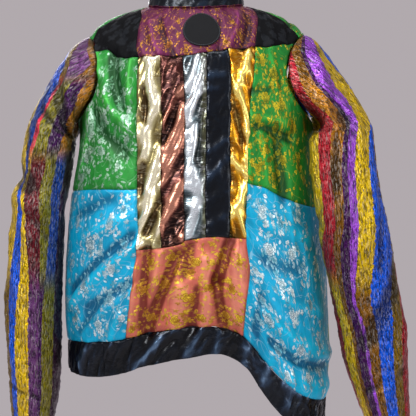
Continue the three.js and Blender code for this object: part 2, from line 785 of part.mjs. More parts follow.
// Sleeve cloth unrolled: around in millimetres from the outer line, and along from the armhole.
const SLEEVE_LONG = 720;
const SLEEVE_MM_PER_DEG = 0.9;
const SLEEVE_FOLDS_LEFT = [
  [30, 60, 120, 110, 13, 8],
  [60, 110, 130, 150, 12, -7],
  [-20, 250, 60, 275, 12, -9],
  [0, 285, 90, 300, 13, 6],
  [70, 320, 100, 420, 14, 4],
  [20, 430, 60, 540, 14, 4],
  [-60, 180, -120, 240, 14, 5],
  [-80, 330, -140, 300, 13, -5],
  [120, 200, 140, 300, 12, 4],
];
const SLEEVE_FOLDS_RIGHT = [
  [40, 70, 110, 130, 13, 7],
  [20, 120, 60, 260, 13, 5],
  [80, 150, 120, 260, 12, -5],
  [60, 300, 110, 420, 13, 4],
  [30, 420, 90, 500, 13, -5],
  [20, 500, 80, 600, 13, 5],
  [-60, 190, -120, 240, 14, 5],
  [-80, 340, -140, 310, 13, -5],
  [-30, 60, -90, 120, 13, 5],
];
function sleeveSurface(rows, folds, side) {
  const form = sleeveForm(rows, side);
  const way = (turn, f) => normalOf(form, turn, f, side * -3, 0.012);
  return (turn, f) => {
    const signed = turn > 180 ? turn - 360 : turn;
    const around = [signed, signed - 360, signed + 360].map((d) => d * SLEEVE_MM_PER_DEG);
    const calm = Math.min(f / 0.06, (1 - f) / 0.06, 1);
    const height = around.reduce((sum, a) => sum + fold(folds, a, f * SLEEVE_LONG), 0) * clamp(calm, 0, 1);
    const edge = clamp(f, 0.004, 0.996);
    return form(turn, f).addScaledVector(way(turn, edge), height);
  };
}

// A tube of cloth: a ring of wall, bent so that its outer skin lies on the surface.
const TUBE_STEP = { turn: -4, f: 0.008, end: 0.004 };
function tubeGeometry(surface, side, columns, rows, from, to) {
  const geometry = new THREE.TorusGeometry(2, 1, 2 * rows + 2, columns);
  const place = geometry.getAttribute("position");
  const uv = geometry.getAttribute("uv");
  const round = 2 * rows + 2;
  for (let i = 0; i < place.count; i += 1) {
    const turn = 360 * (side > 0 ? 1 - uv.getX(i) : uv.getX(i));
    const step = Math.round(uv.getY(i) * round) % round;
    const outside = step <= rows;
    const row = outside ? step : round - 1 - step;
    const f = mix(from, to, row / rows);
    const edge = clamp(f, from + TUBE_STEP.end, to - TUBE_STEP.end);
    const wayOut = normalOf(surface, turn % 360, edge, side * TUBE_STEP.turn, TUBE_STEP.f);
    const point = surface(turn % 360, f).addScaledVector(wayOut, outside ? 0 : -WALL);
    place.setXYZ(i, point.x, point.y, point.z);
  }
  geometry.deleteAttribute("uv");
  geometry.deleteAttribute("normal");
  return geometry;
}
const STRIPED = () => paint(0x8a7a24, 0.35, 0.6);
const leftSleeve = sleeveSurface(SLEEVE_LEFT, SLEEVE_FOLDS_LEFT, 1);
const rightSleeve = sleeveSurface(SLEEVE_RIGHT, SLEEVE_FOLDS_RIGHT, -1);
const SLEEVE_COLUMNS = 360 / ARM_STEP;
const SLEEVE_ROWS = 20;
addMesh("sleeve_left", tubeGeometry(leftSleeve, 1, SLEEVE_COLUMNS, SLEEVE_ROWS, 0, 1), STRIPED());
addMesh("sleeve_right", tubeGeometry(rightSleeve, -1, SLEEVE_COLUMNS, SLEEVE_ROWS, 0, 1), STRIPED());

// Cuffs: short bands that close the sleeves' ends.
const CUFF = { long: 48, start: 0.99, taper: 0.94, gap: 0.4, wayFrom: 0.97 };
function cuffSurface(sleeve) {
  const way = new THREE.Vector3();
  const middle = new THREE.Vector3();
  const near = new THREE.Vector3();
  for (let turn = 0; turn < 360; turn += ARM_STEP) {
    middle.addScaledVector(sleeve(turn, 1), ARM_STEP / 360);
    near.addScaledVector(sleeve(turn, CUFF.wayFrom), ARM_STEP / 360);
  }
  way.copy(middle).sub(near).normalize();
  return (turn, f) => {
    const off = sleeve(turn, 1).sub(middle);
    return middle
      .clone()
      .addScaledVector(off, mix(CUFF.start, CUFF.taper, f))
      .addScaledVector(way, CUFF.gap + f * CUFF.long);
  };
}
addMesh("cuff_left", tubeGeometry(cuffSurface(leftSleeve), 1, SLEEVE_COLUMNS, 2, 0, 1), WET_BLACK());
addMesh("cuff_right", tubeGeometry(cuffSurface(rightSleeve), -1, SLEEVE_COLUMNS, 2, 0, 1), WET_BLACK());

// Zip: two tapes behind the front edges, the chain between them, a slider with its pull tab.
function tapePatch(side) {
  const level = (v) => mix(ZIP.tapeLow, ZIP.top, v);
  const edge = (across) => (v) => [side * frontGirth(across, level(v)), level(v)];
  const inner = edge(ZIP.tapeIn);
  const outer = edge(ZIP.tapeOut);
  const between = (v) => (u) => [mix(outer(v)[0], inner(v)[0], u), level(v)];
  if (side < 0) return patchBetween(between(0), between(1), outer, inner);
  const mirror = (run) => (x) => run(1 - x);
  return patchBetween(mirror(between(0)), mirror(between(1)), inner, outer);
}
const ZIP_TAPE = () => paint(0x15171c, 0.8, 0);
const ZIP_METAL = () => paint(0x8d8f94, 0.3, 0.9);
const TAPE_ROWS = 26;
const TAPE_GAP = 1.2;
addPanel("zip_tape_left", ZIP_TAPE(), tapePatch(1), 1, TAPE_ROWS, ZIP.tapeThick, WALL + TAPE_GAP);
addPanel("zip_tape_right", ZIP_TAPE(), tapePatch(-1), 1, TAPE_ROWS, ZIP.tapeThick, WALL + TAPE_GAP);
function chainPlace(u, v) {
  const across = mix(-ZIP.chain, ZIP.chain, u);
  const level = mix(ZIP.chainLow, ZIP.top, v);
  const side = across < 0 ? -1 : 1;
  const deg = Math.abs(across) < 0.01 ? 180 : side * frontGirth(Math.abs(across), level);
  return [deg, level];
}
const chainWay = (u, v) => bodyOut(180, chainPlace(u, v)[1]);
addMesh(
  "zip_chain",
  sheetGeometry((u, v) => body(...chainPlace(u, v)), chainWay, 2, 52, ZIP.chainThick, ZIP.chainSink),
  ZIP_METAL(),
);

// The slider's own frame: x across, y up the chain, z out of the cloth.
const SLIDER_LEVEL = 1.85;
const sliderPlace = body(180, SLIDER_LEVEL).setX(0);
const sliderOut = bodyOut(180, SLIDER_LEVEL).setX(0).normalize();
const SLIDER_LIFT = 0.6;
const SLIDER = {
  wide: 8.8,
  long: 13,
  thick: 1.5,
  middle: 0.45,
  lug: 1,
  lugLong: 4.4,
  lugHigh: 4.6,
  lugOff: 2.95,
  lugZ: 3.3,
};
const sliderUp = new THREE.Vector3().crossVectors(sliderOut, new THREE.Vector3(1, 0, 0)).normalize();
const sliderFrame = new THREE.Matrix4()
  .makeBasis(new THREE.Vector3(1, 0, 0), sliderUp, sliderOut)
  .setPosition(sliderPlace.addScaledVector(sliderOut, SLIDER_LIFT));
const BAR = { y: 1, z: 4.2, radius: 0.8, long: 6.8 };
const TAB = {
  eye: 2.1,
  hole: 1.15,
  width: 4.2,
  neckLong: 4,
  wide: 6,
  long: 24,
  bladeTop: 3.2,
  thick: 1.4,
  lean: -9,
};

function solid(geometry) {
  const bare = geometry.index ? geometry.toNonIndexed() : geometry;
  bare.deleteAttribute("normal");
  bare.deleteAttribute("uv");
  const merged = mergeVertices(bare, 1e-4);
  return new wasm.Manifold(
    new wasm.Mesh({
      numProp: 3,
      vertProperties: merged.attributes.position.array,
      triVerts: new Uint32Array(merged.index.array),
    }),
  );
}
function geometryOf(made) {
  const mesh = made.getMesh();
  return new THREE.BufferGeometry()
    .setAttribute("position", new THREE.BufferAttribute(mesh.vertProperties, 3))
    .setIndex(new THREE.BufferAttribute(mesh.triVerts, 1));
}
const block = (w, d, h, x, y, z) => solid(new THREE.BoxGeometry(w, d, h).translate(x, y, z));
const crossBar = (radius, long, y, z, sides) =>
  solid(new THREE.CylinderGeometry(radius, radius, long, sides).rotateZ(Math.PI / 2).translate(0, y, z));
function sliderGeometry() {
  const plate = block(SLIDER.wide, SLIDER.long, SLIDER.thick, 0, 0, SLIDER.middle);
  const lugs = [-1, 1].map((side) =>
    block(SLIDER.lug, SLIDER.lugLong, SLIDER.lugHigh, side * SLIDER.lugOff, BAR.y, SLIDER.lugZ),
  );
  const bar = crossBar(BAR.radius, BAR.long, BAR.y, BAR.z, 16);
  return geometryOf(plate.add(lugs[0]).add(lugs[1]).add(bar)).applyMatrix4(sliderFrame);
}
function tabGeometry() {
  const eye = crossBar(TAB.eye, TAB.width, 0, 0, 20);
  const neckPart = block(TAB.width, TAB.neckLong, TAB.thick, 0, -TAB.neckLong / 2, 0);
  const blade = block(TAB.wide, TAB.long, TAB.thick, 0, -TAB.bladeTop - TAB.long / 2, 0);
  const hole = crossBar(TAB.hole, 2 * TAB.width, 0, 0, 20);
  const lean = new THREE.Matrix4().makeRotationX(rad(-TAB.lean));
  const place = new THREE.Matrix4().makeTranslation(0, BAR.y, BAR.z);
  return geometryOf(eye.add(neckPart).add(blade).subtract(hole)).applyMatrix4(
    sliderFrame.clone().multiply(place).multiply(lean),
  );
}
addMesh("zip_slider", sliderGeometry(), ZIP_METAL());
addMesh("zip_pull_tab", tabGeometry(), ZIP_METAL());

export default group;
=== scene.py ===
"""Patchwork bomber jacket: cloth pieces, creases, materials, sewing and zip over its frame."""
import math

import bmesh
import bpy
import numpy as np
from bpy.props import FloatProperty, FloatVectorProperty, PointerProperty
from mathutils import Matrix, Vector


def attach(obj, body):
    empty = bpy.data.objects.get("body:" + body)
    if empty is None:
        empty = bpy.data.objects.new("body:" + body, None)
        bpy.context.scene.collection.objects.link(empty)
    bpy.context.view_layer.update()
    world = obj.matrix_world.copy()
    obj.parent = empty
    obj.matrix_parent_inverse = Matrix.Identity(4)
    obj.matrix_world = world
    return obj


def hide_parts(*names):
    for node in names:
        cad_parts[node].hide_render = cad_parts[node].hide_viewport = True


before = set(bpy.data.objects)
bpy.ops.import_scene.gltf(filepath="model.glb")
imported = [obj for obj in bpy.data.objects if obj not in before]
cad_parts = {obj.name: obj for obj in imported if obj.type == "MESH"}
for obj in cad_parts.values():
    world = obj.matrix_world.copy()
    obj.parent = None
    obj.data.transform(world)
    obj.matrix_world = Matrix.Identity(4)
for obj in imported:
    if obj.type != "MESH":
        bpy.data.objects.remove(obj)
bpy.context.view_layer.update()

bl_info = {
    "name": "Patchwork bomber jacket",
    "version": (1, 0, 0),
    "blender": (4, 5, 0),
    "location": "3D View > Sidebar > Jacket",
    "description": "Builds the cloth, sewing and zip of a worn patchwork bomber jacket",
    "category": "Object",
}

ROOT = "jacket"
MM = 0.001

# Sizes of the cut in the part's own frame: millimetres, degrees round the body and levels up it.
ARMPIT_Z = -200
BODY_EXPONENT = 2.25
NECK_LEVEL = 1.9995
ARMHOLE_BACK, ARMHOLE_FRONT, ARMHOLE_RISE, ARMHOLE_SQUARE = 36, 40, 0.52, 0.85
ZIP_EDGE, ZIP_LOW, ZIP_TOP = 5, -0.985, 1.9
PATCH_RADIUS, PATCH_DEG, PATCH_LEVEL = 29.5, -6.7, 1.725
PATCH_MM_PER_DEG, PATCH_MM_PER_LEVEL, PATCH_MARGIN = 2.52, 184, 1.25
COLLAR_HEIGHT, COLLAR_LIFT, COLLAR_OPEN = 56, 0.45, 176
COLLAR_SEAT, COLLAR_SEAT_LIFT = 0.992, 0.9
# The most levels that the band runs down from its upper seam.
BAND_REACH = 1.2
# Half width, depth back and depth front.
NECK = (80, 58, 64)
BAND_RING = (219, 119, 127)
COLLAR_TOP = (75, 53, 59)
# Cloth millimetres in a degree, in a level above and below the armpit, and in the band's height.
MM_PER_DEG, UPPER_LONG, LOWER_LONG, BAND_LONG = 3.6, 215, 335, 50


def mix(a, b, share):
    return a + (b - a) * share


def power(value, exponent):
    return np.sign(value) * np.abs(value) ** exponent


def unit(way):
    return way / np.linalg.norm(way, axis=-1, keepdims=True)


def curve(rows, column=1):
    """A smooth curve through the rows of a table."""
    x = np.array([row[0] for row in rows], float)
    y = np.array([row[column] for row in rows], float)
    slope = np.empty_like(y)
    slope[1:-1] = (y[2:] - y[:-2]) / (x[2:] - x[:-2])
    slope[0] = (y[1] - y[0]) / (x[1] - x[0])
    slope[-1] = (y[-1] - y[-2]) / (x[-1] - x[-2])

    def at(place):
        p = np.clip(np.asarray(place, float), x[0], x[-1])
        i = np.clip(np.searchsorted(x, p, side="right") - 1, 0, len(x) - 2)
        h = x[i + 1] - x[i]
        s = (p - x[i]) / h
        return (
            (2 * s**3 - 3 * s**2 + 1) * y[i]
            + (s**3 - 2 * s**2 + s) * h * slope[i]
            + (3 * s**2 - 2 * s**3) * y[i + 1]
            + (s**3 - s**2) * h * slope[i + 1]
        )

    return at


# Girth in degrees: 0 centre back, 90 the wearer's left side, 180 centre front.
# Columns: girth, height of the band's upper seam, height of its lower edge.
BAND = [
    (-180, -541, -590),
    (-150, -556, -606),
    (-120, -604, -655),
    (-90, -645, -692),
    (-69, -648, -694),
    (-53, -637, -686),
    (-42, -615, -672),
    (-35, -594, -650),
    (-29, -572, -624),
    (-23, -545, -592),
    (-16, -530, -573),
    (-9, -522, -566),
    (0, -524, -573),
    (10, -530, -582),
    (18, -537, -589),
    (28, -546, -601),
    (42, -551, -609),
    (60, -553, -609),
    (90, -552, -600),
    (120, -546, -595),
    (150, -542, -591),
    (180, -541, -590),
]
band_top = curve(BAND, 1)
band_low = curve(BAND, 2)

# Level 0 is the band's seam, 1 the armpit. Columns: level, half width, depth back, depth front.
LOWER = [
    (0, 221, 122, 130),
    (0.08, 224, 130, 137),
    (0.25, 225, 134, 140),
    (0.5, 221, 131, 138),
    (0.75, 212, 124, 134),
    (0.9, 203, 120, 130),
    (1, 200, 118, 128),
]
half_width = curve(LOWER, 1)
back_depth = curve(LOWER, 2)
front_depth = curve(LOWER, 3)

# Level 2 is the neck. Columns: girth, squareness of the rise, neck height, corner height.
UPPER = [
    (0, 2.1, 8, -58),
    (45, 2.4, 12, -42),
    (70, 3.2, 15, -24),
    (90, 4.6, 15, -15),
    (110, 3.4, 4, -30),
    (135, 2.6, -15, -52),
    (180, 2.2, -48, -90),
]
rise_exponent = curve(UPPER, 1)
neck_height = curve(UPPER, 2)
corner_height = curve(UPPER, 3)


def ring(across, back, front, exponent, deg):
    s = np.sin(np.radians(deg))
    c = np.cos(np.radians(deg))
    depth = np.where(c > 0, back, front)
    return across * power(s, 2 / exponent), depth * power(c, 2 / exponent)


def body_form(deg, level):
    """The smooth body, in millimetres."""
    deg, level = np.broadcast_arrays(np.asarray(deg, float), np.asarray(level, float))
    low = np.clip(level, 0, 1)
    x, y = ring(half_width(low), back_depth(low), front_depth(low), BODY_EXPONENT, deg)
    top = band_top(deg)
    z = mix(top, ARMPIT_Z, low)
    band = np.clip(-level, 0, BAND_REACH)
    bx, by = ring(*BAND_RING, BODY_EXPONENT, deg)
    x = mix(x, bx, band)
    y = mix(y, by, band)
    z = np.where(level < 0, mix(top, band_low(deg), band), z)
    turn = np.radians(90 * np.clip(level - 1, 0, 1))
    p = 2 / rise_exponent(np.abs(deg))
    inward = 1 - np.maximum(np.cos(turn), 0) ** p
    up = np.sin(turn) ** p
    neck = neck_height(np.abs(deg))
    corner = corner_height(np.abs(deg))
    nx, ny = ring(*NECK, 2, deg)
    high = level > 1
    x = np.where(high, mix(x, nx, inward), x)
    y = np.where(high, mix(y, ny, inward), y)
    risen = ARMPIT_Z + up * (corner - ARMPIT_Z) + inward * (neck - corner)
    return np.stack([x, y, np.where(high, risen, z)], -1)


def unrolled(deg, level):
    """Cloth millimetres: across from the centre back, up from the armpit line."""
    up = (level - 1) * np.where(level > 1, UPPER_LONG, LOWER_LONG)
    return deg * MM_PER_DEG, np.where(level < 0, BAND_LONG * level - LOWER_LONG, up)


# Folds of the body cloth: start across, start up, end across, end up, half width, rise.
BODY_FOLDS = [
    (238, 98, 202, 71, 9, 7),
    (169, 97, 128, 37, 13, -8),
    (117, 96, 106, 44, 10, 4),
    (166, 40, 101, 1, 10, 4),
    (189, 13, 112, -35, 13, -4),
    (216, 3, 230, -54, 10, 4),
    (295, -28, 295, -85, 10, -3),
    (72, 95, 56, 42, 7, 4),
    (76, 53, 67, 9, 6, -4),
    (47, 32, 67, 1, 7, 4),
    (65, -13, 65, -42, 7, 3),
    (41, -35, 58, -99, 7, 4),
    (68, -171, 50, -109, 7, 4),
    (58, -168, 40, -126, 6, -4),
    (70, -59, 70, -99, 6, -3),
    (9, 58, 34, 9, 6, 4),
    (7, 26, 34, -60, 6, 5),
    (16, 40, 36, -18, 6, -3),
    (5, -10, 36, -94, 6, 4),
    (13, -102, 34, -164, 7, 4),
    (7, -144, 25, -184, 6, -3),
    (-11, 108, 2, 55, 6, 4),
    (-22, 96, 2, 12, 6, 5),
    (-7, -2, -2, -95, 8, 4),
    (-18, 40, -11, -54, 6, -4),
    (-13, -104, 2, -179, 7, 3),
    (-27, 74, -50, 75, 6, 4),
    (-25, 54, -41, 56, 6, 4),
    (-27, -37, -52, -18, 6, 4),
    (-23, -84, -58, -49, 7, 4),
    (-22, -121, -56, -102, 6, 3),
    (-31, 14, -58, 27, 6, -3),
    (-25, -162, -54, -142, 6, 3),
    (-115, 108, -85, 66, 6, 4),
    (-77, 48, -90, -5, 6, 5),
    (-90, -5, -90, -60, 6, 4),
    (-76, 31, -83, -18, 6, -3),
    (-63, -52, -85, -74, 6, 4),
    (-88, -77, -72, -119, 7, 4),
    (-65, -132, -79, -169, 6, 4),
    (56, -201, 63, -318, 7, -6),
    (14, -216, 56, -333, 8, -9),
    (-54, -188, -34, -258, 8, -9),
    (-34, -258, -43, -328, 7, -8),
    (-9, -271, -2, -335, 7, -6),
    (7, -270, 13, -328, 10, 5),
    (-22, -224, -18, -323, 9, 5),
    (-67, -206, -65, -312, 11, 5),
    (36, -208, 43, -265, 8, 3),
    (-2, -196, 2, -245, 6, -4),
    (74, -226, 83, -313, 8, 3),
    (221, -271, 76, -191, 10, 8),
    (227, -253, 86, -174, 9, -5),
    (171, -280, 85, -248, 9, -5),
    (122, -330, 104, -298, 8, 4),
    (198, -315, 160, -286, 9, -3),
    (218, -134, 128, -111, 12, -3),
    (185, -166, 104, -144, 12, 3),
    (-104, -250, -94, -307, 7, -5),
    (-115, -268, -324, -281, 11, 6),
    (-124, -298, -286, -290, 7, -5),
    (-148, -226, -259, -226, 9, 3),
    (-157, -328, -295, -318, 12, 6),
    (-106, -191, -185, -178, 12, -3),
    (-122, -134, -209, -136, 12, 3),
    (-112, 3, -184, -10, 7, -6),
    (-108, 12, -175, 4, 8, 4),
    (-104, 49, -139, 49, 6, -3),
    (-153, -27, -155, -80, 12, -5),
    (-119, -15, -119, -72, 10, 4),
    (-166, 90, -158, 53, 8, 3),
    (-153, 192, -67, 113, 7, 5),
    (-184, 187, -108, 119, 7, -5),
    (-76, 172, -50, 114, 6, -4),
    (119, 169, 56, 108, 7, 4),
    (95, 178, 32, 112, 6, -4),
    (115, 131, 85, 103, 6, 3),
    (277, 137, 158, 111, 10, 4),
    (220, 160, 133, 109, 9, -3),
    (-245, 182, -184, 116, 9, 3),
    (-344, 177, -236, 114, 9, -3),
    (77, -384, 36, -348, 6, 4),
    (2, -374, -13, -343, 6, 3),
    (-32, -382, -41, -338, 6, 3),
    (52, -380, 20, -352, 6, -3),
    (209, -370, 178, -339, 8, 3),
    (-77, -377, -85, -332, 7, 3),
    (-106, -368, -121, -327, 7, 3),
    (160, -378, 151, -339, 6, -2),
    (104, -382, 90, -344, 7, -3),
    (18, -385, 4, -348, 6, -3),
    (-58, -377, -63, -330, 6, -3),
    (-153, -366, -167, -330, 8, 3),
    (520, 40, 575, -60, 13, 4),
    (470, -20, 560, -150, 14, -4),
    (610, -120, 560, -250, 13, 4),
    (430, -190, 520, -300, 14, 5),
    (590, -290, 500, -330, 12, -3.5),
    (-520, 30, -590, -70, 13, 4),
    (-470, -30, -550, -160, 14, -4),
    (-600, -130, -540, -260, 13, 4),
    (-420, -230, -520, -320, 14, 5),
    (-600, -280, -560, -330, 12, -3.5),
    (395, -150, 350, -280, 13, 3.5),
    (-395, -170, -350, -290, 13, 3.5),
]


# How far a fold fades past its ends, in half widths.
FOLD_END = 1.6
# Steps in degrees and levels to the neighbours that give the way out of the body.
NEAR_DEG, NEAR_LEVEL = 0.6, 0.012


def fold(table, across, up):
    """The height of all the folds of a table at places on the cloth."""
    height = np.zeros(np.broadcast(across, up).shape)
    for ax, ay, bx, by, half, rise in table:
        dx, dy = bx - ax, by - ay
        long = math.hypot(dx, dy)
        share = ((across - ax) * dx + (up - ay) * dy) / long**2
        off = ((across - ax) * dy - (up - ay) * dx) / long
        past = np.maximum(np.maximum(-share, share - 1), 0) * long
        height += rise * np.exp(-((past / (FOLD_END * half)) ** 2) - (off / half) ** 2)
    return height


def lattice(x, y, seed):
    """An uneven value between 0 and 1 for each whole place."""
    value = np.sin(x * 127.1 + y * 311.7 + seed * 74.7) * 43758.5453
    return value - np.floor(value)


def ripple(x, y, seed):
    """Smooth uneven height between -1 and 1."""
    cx, cy = np.floor(x), np.floor(y)
    fx, fy = x - cx, y - cy
    fx = fx * fx * (3 - 2 * fx)
    fy = fy * fy * (3 - 2 * fy)
    low = mix(lattice(cx, cy, seed), lattice(cx + 1, cy, seed), fx)
    high = mix(lattice(cx, cy + 1, seed), lattice(cx + 1, cy + 1, seed), fx)
    return 2 * mix(low, high, fy) - 1


def crumple(x, y, size, stretch, slant, seed):
    """Ridges of crumpled cloth: long along the slant, uneven, between 0 and 1."""
    c, s = math.cos(math.radians(slant)), math.sin(math.radians(slant))
    across = (x * c - y * s) / size
    along = (x * s + y * c) / (size * stretch)
    bend = 0.6 * ripple(along * 1.3, across * 0.7, seed + 5)
    total = 1 - np.abs(ripple(across + bend, along, seed))
    finer = 1 - np.abs(ripple(2.1 * across - bend, 1.9 * along, seed + 9))
    return 0.68 * total**2 + 0.32 * finer**2


def grid_normal(points):
    """The way out of a grid of points whose columns run to the right and rows up."""
    right = np.gradient(points, axis=0)
    up = np.gradient(points, axis=1)
    out = np.cross(right, up)
    return out / np.maximum(np.linalg.norm(out, axis=-1, keepdims=True), 1e-9)


def patch_calm(deg, level):
    """0 under the round patch, which lies smooth, and 1 away from it."""
    across = (deg - PATCH_DEG) * PATCH_MM_PER_DEG
    up = (level - PATCH_LEVEL) * PATCH_MM_PER_LEVEL
    return 1 - np.exp(-((np.hypot(across, up) / (PATCH_RADIUS * PATCH_MARGIN)) ** 6))


def body_way(deg, level):
    """The way out of the smooth body."""
    right = body_form(deg - NEAR_DEG, level) - body_form(deg + NEAR_DEG, level)
    up = body_form(deg, level + NEAR_LEVEL) - body_form(deg, level - NEAR_LEVEL)
    return unit(np.cross(right, up))


def body(deg, level):
    """The body with its folds."""
    deg, level = np.broadcast_arrays(np.asarray(deg, float), np.asarray(level, float))
    across, up = unrolled(deg, level)
    height = fold(BODY_FOLDS, across, up) * patch_calm(deg, level)
    return body_form(deg, level) + body_way(deg, level) * height[..., None]


def armhole(turn, side):
    """Armhole edge: 0 at the shoulder point, 90 at the back, 180 at the armpit, 270 at the front."""
    s = np.sin(np.radians(turn))
    reach = np.where(s > 0, ARMHOLE_BACK, ARMHOLE_FRONT)
    deg = 90 - reach * power(s, ARMHOLE_SQUARE)
    return side * deg, 1 + ARMHOLE_RISE * (1 + np.cos(np.radians(turn))) / 2


def arm_point(turn, side):
    return tuple(float(v) for v in armhole(turn, side))


SEAM_TURN = 15
YOKE_TURN_LEFT, YOKE_TURN_RIGHT = 45, 30
SHOULDER_DEG, SHOULDER_POINT = arm_point(SEAM_TURN, 1)

# Seams that run up. Columns: level, girth.
SEAM_LEFT = curve([
    (0, 26),
    (0.14, 23.5),
    (0.3, 21.5),
    (0.42, 19.7),
    (0.7, 21),
    (0.95, 23),
    (1.18, 24.2),
    (1.47, 28.5),
    (1.56, 33),
    (1.7, 38.5),
    (1.87, 50),
    (1.97, 69),
    (NECK_LEVEL, SHOULDER_DEG),
])
SEAM_RIGHT = curve([
    (0, -20.5),
    (0.19, -22),
    (0.34, -23.6),
    (0.48, -22),
    (0.74, -23.5),
    (0.95, -25.5),
    (1.18, -27.8),
    (1.54, -38),
    (1.68, -46),
    (1.87, -62),
    (1.97, -73),
    (NECK_LEVEL, -SHOULDER_DEG),
])
STRIP_SEAMS = [
    SEAM_LEFT,
    curve([(0.41, 9.5), (0.74, 10.5), (1.18, 11.5), (1.48, 15)]),
    curve([(0.43, 1.2), (0.74, 1.5), (1.19, 1.6), (1.5, 3.4)]),
    curve([(0.45, -5.5), (0.74, -5.5), (1.19, -6.4), (1.52, -7.5)]),
    curve([(0.46, -15), (0.74, -16), (1.18, -17.6), (1.53, -20.3)]),
    SEAM_RIGHT,
]

# Seams that run across. Columns: girth, level.
NECK_LINE_LOW = 1.966
neck_line = curve([
    (-180, NECK_LEVEL),
    (-80, NECK_LEVEL),
    (-62, 1.99),
    (-35, 1.97),
    (0, NECK_LINE_LOW),
    (35, 1.97),
    (62, 1.99),
    (80, NECK_LEVEL),
    (180, NECK_LEVEL),
])
CORAL_TOP = curve([
    (-22.2, 0.475),
    (-15, 0.46),
    (-5, 0.45),
    (1, 0.437),
    (3, 0.42),
    (9.5, 0.412),
    (19.6, 0.415),
])
PLUM_LOW = curve([(-38, 1.54), (-20, 1.53), (-7.5, 1.52), (3, 1.5), (15.5, 1.485), (28.5, 1.472)])
GREEN_LOW = curve([
    (-90, 0.715),
    (-58.5, 0.72),
    (-39, 0.74),
    (-30.5, 0.75),
    (-23.5, 0.742),
    (20, 0.712),
    (42, 0.72),
    (90, 0.715),
])
YOKE_LOW_LEFT = curve([
    (28.5, 1.472),
    (37.5, 1.458),
    (46, 1.462),
    (52, 1.49),
    (57, 1.488),
    arm_point(YOKE_TURN_LEFT, 1),
])
YOKE_LOW_RIGHT = curve([arm_point(YOKE_TURN_RIGHT, -1), (-60, 1.512), (-45.5, 1.522), (-38, 1.54)])


NECK_EASE = 2.2
# Rows of the green sides below the armpit, and degrees of the armhole in each row above it.
UNDERARM_ROWS, DEG_PER_ROW = 5, 15


def level_line(value):
    return lambda deg: np.full(np.shape(deg), float(value))


def toward_neck(low, high, v):
    """Rises fast at first, so the cloth's rows stay even where the body turns inwards."""
    return high - (high - low) * (1 - v) ** NECK_EASE


def along_up(seam, low, high):
    def at(v):
        level = toward_neck(low, high, v) if high > NECK_LINE_LOW - 0.001 else mix(low, high, v)
        return seam(level), level

    return at


def along_across(seam, left, right):
    def at(u):
        deg = mix(left, right, u)
        return deg, seam(deg)

    return at


def meeting(up_seam, across_seam):
    """Where a seam that runs up meets one that runs across."""
    level = float(across_seam(0.0))
    for _ in range(30):
        level = mix(level, float(across_seam(up_seam(level))), 0.7)
    return float(up_seam(level)), level


def patch_between(low, high, left, right):
    """A four-sided patch of cloth between its edges, each a function of 0 to 1."""
    ends = (low(0.0), low(1.0), high(0.0), high(1.0))
    corner = [[float(end[k]) for k in (0, 1)] for end in ends]

    def at(u, v):
        out = []
        for k in (0, 1):
            across = mix(low(u)[k], high(u)[k], v)
            up = mix(left(v)[k], right(v)[k], u)
            flat = mix(mix(corner[0][k], corner[1][k], u), mix(corner[2][k], corner[3][k], u), v)
            out.append(across + up - flat)
        return out[0], out[1]

    return at


def seamed_patch(left, right, low, high):
    low_left, low_right = meeting(left, low), meeting(right, low)
    high_left, high_right = meeting(left, high), meeting(right, high)
    return patch_between(
        along_across(low, low_left[0], low_right[0]),
        along_across(high, high_left[0], high_right[0]),
        along_up(left, low_left[1], high_left[1]),
        along_up(right, low_right[1], high_right[1]),
    )


def turned_round(side, low, high, outer, inner):
    """The same patch on either side, with its columns always running to the right."""
    if side > 0:
        return patch_between(low, high, outer, inner)
    return patch_between(lambda x: low(1 - x), lambda x: high(1 - x), inner, outer)


def yoke_patch(side, seam, low_seam, turn):
    inner = meeting(seam, low_seam)
    outer = arm_point(turn, side)
    return turned_round(
        side,
        along_across(low_seam, outer[0], inner[0]),
        lambda u: (side * SHOULDER_DEG + 0 * u, toward_neck(SHOULDER_POINT, NECK_LEVEL, u)),
        lambda v: armhole(mix(turn, SEAM_TURN, v), side),
        along_up(seam, inner[1], NECK_LEVEL),
    )


def green_patch(side, seam, yoke_seam, turn):
    low = meeting(seam, GREEN_LOW)
    high = meeting(seam, yoke_seam)
    outer_high = arm_point(turn, side)
    share = UNDERARM_ROWS / (UNDERARM_ROWS + (180 - turn) / DEG_PER_ROW)

    def outer(v):
        level = mix(float(GREEN_LOW(side * 90.0)), 1, v / share)
        deg, arm_level = armhole(mix(180, turn, (v - share) / (1 - share)), side)
        under = v < share
        return np.where(under, side * 90, deg), np.where(under, level, arm_level)

    return turned_round(
        side,
        along_across(GREEN_LOW, side * 90, low[0]),
        along_across(yoke_seam, outer_high[0], high[0]),
        outer,
        along_up(seam, low[1], high[1]),
    )


def front_girth(across, level):
    """The girth at which the front is that far from its middle line."""
    level = np.asarray(level, float)
    low, high = np.full(level.shape, 120.0), np.full(level.shape, 180.0)
    for _ in range(24):
        middle = (low + high) / 2
        wide = body_form(middle, level)[..., 0] > across
        low, high = np.where(wide, middle, low), np.where(wide, high, middle)
    return (low + high) / 2


FRONT_UNDERARM, FRONT_ARM, FRONT_SHOULDER = 9, 13, 6
FRONT_ROWS = FRONT_UNDERARM + FRONT_ARM + FRONT_SHOULDER
CHEST_TOP = 1.6


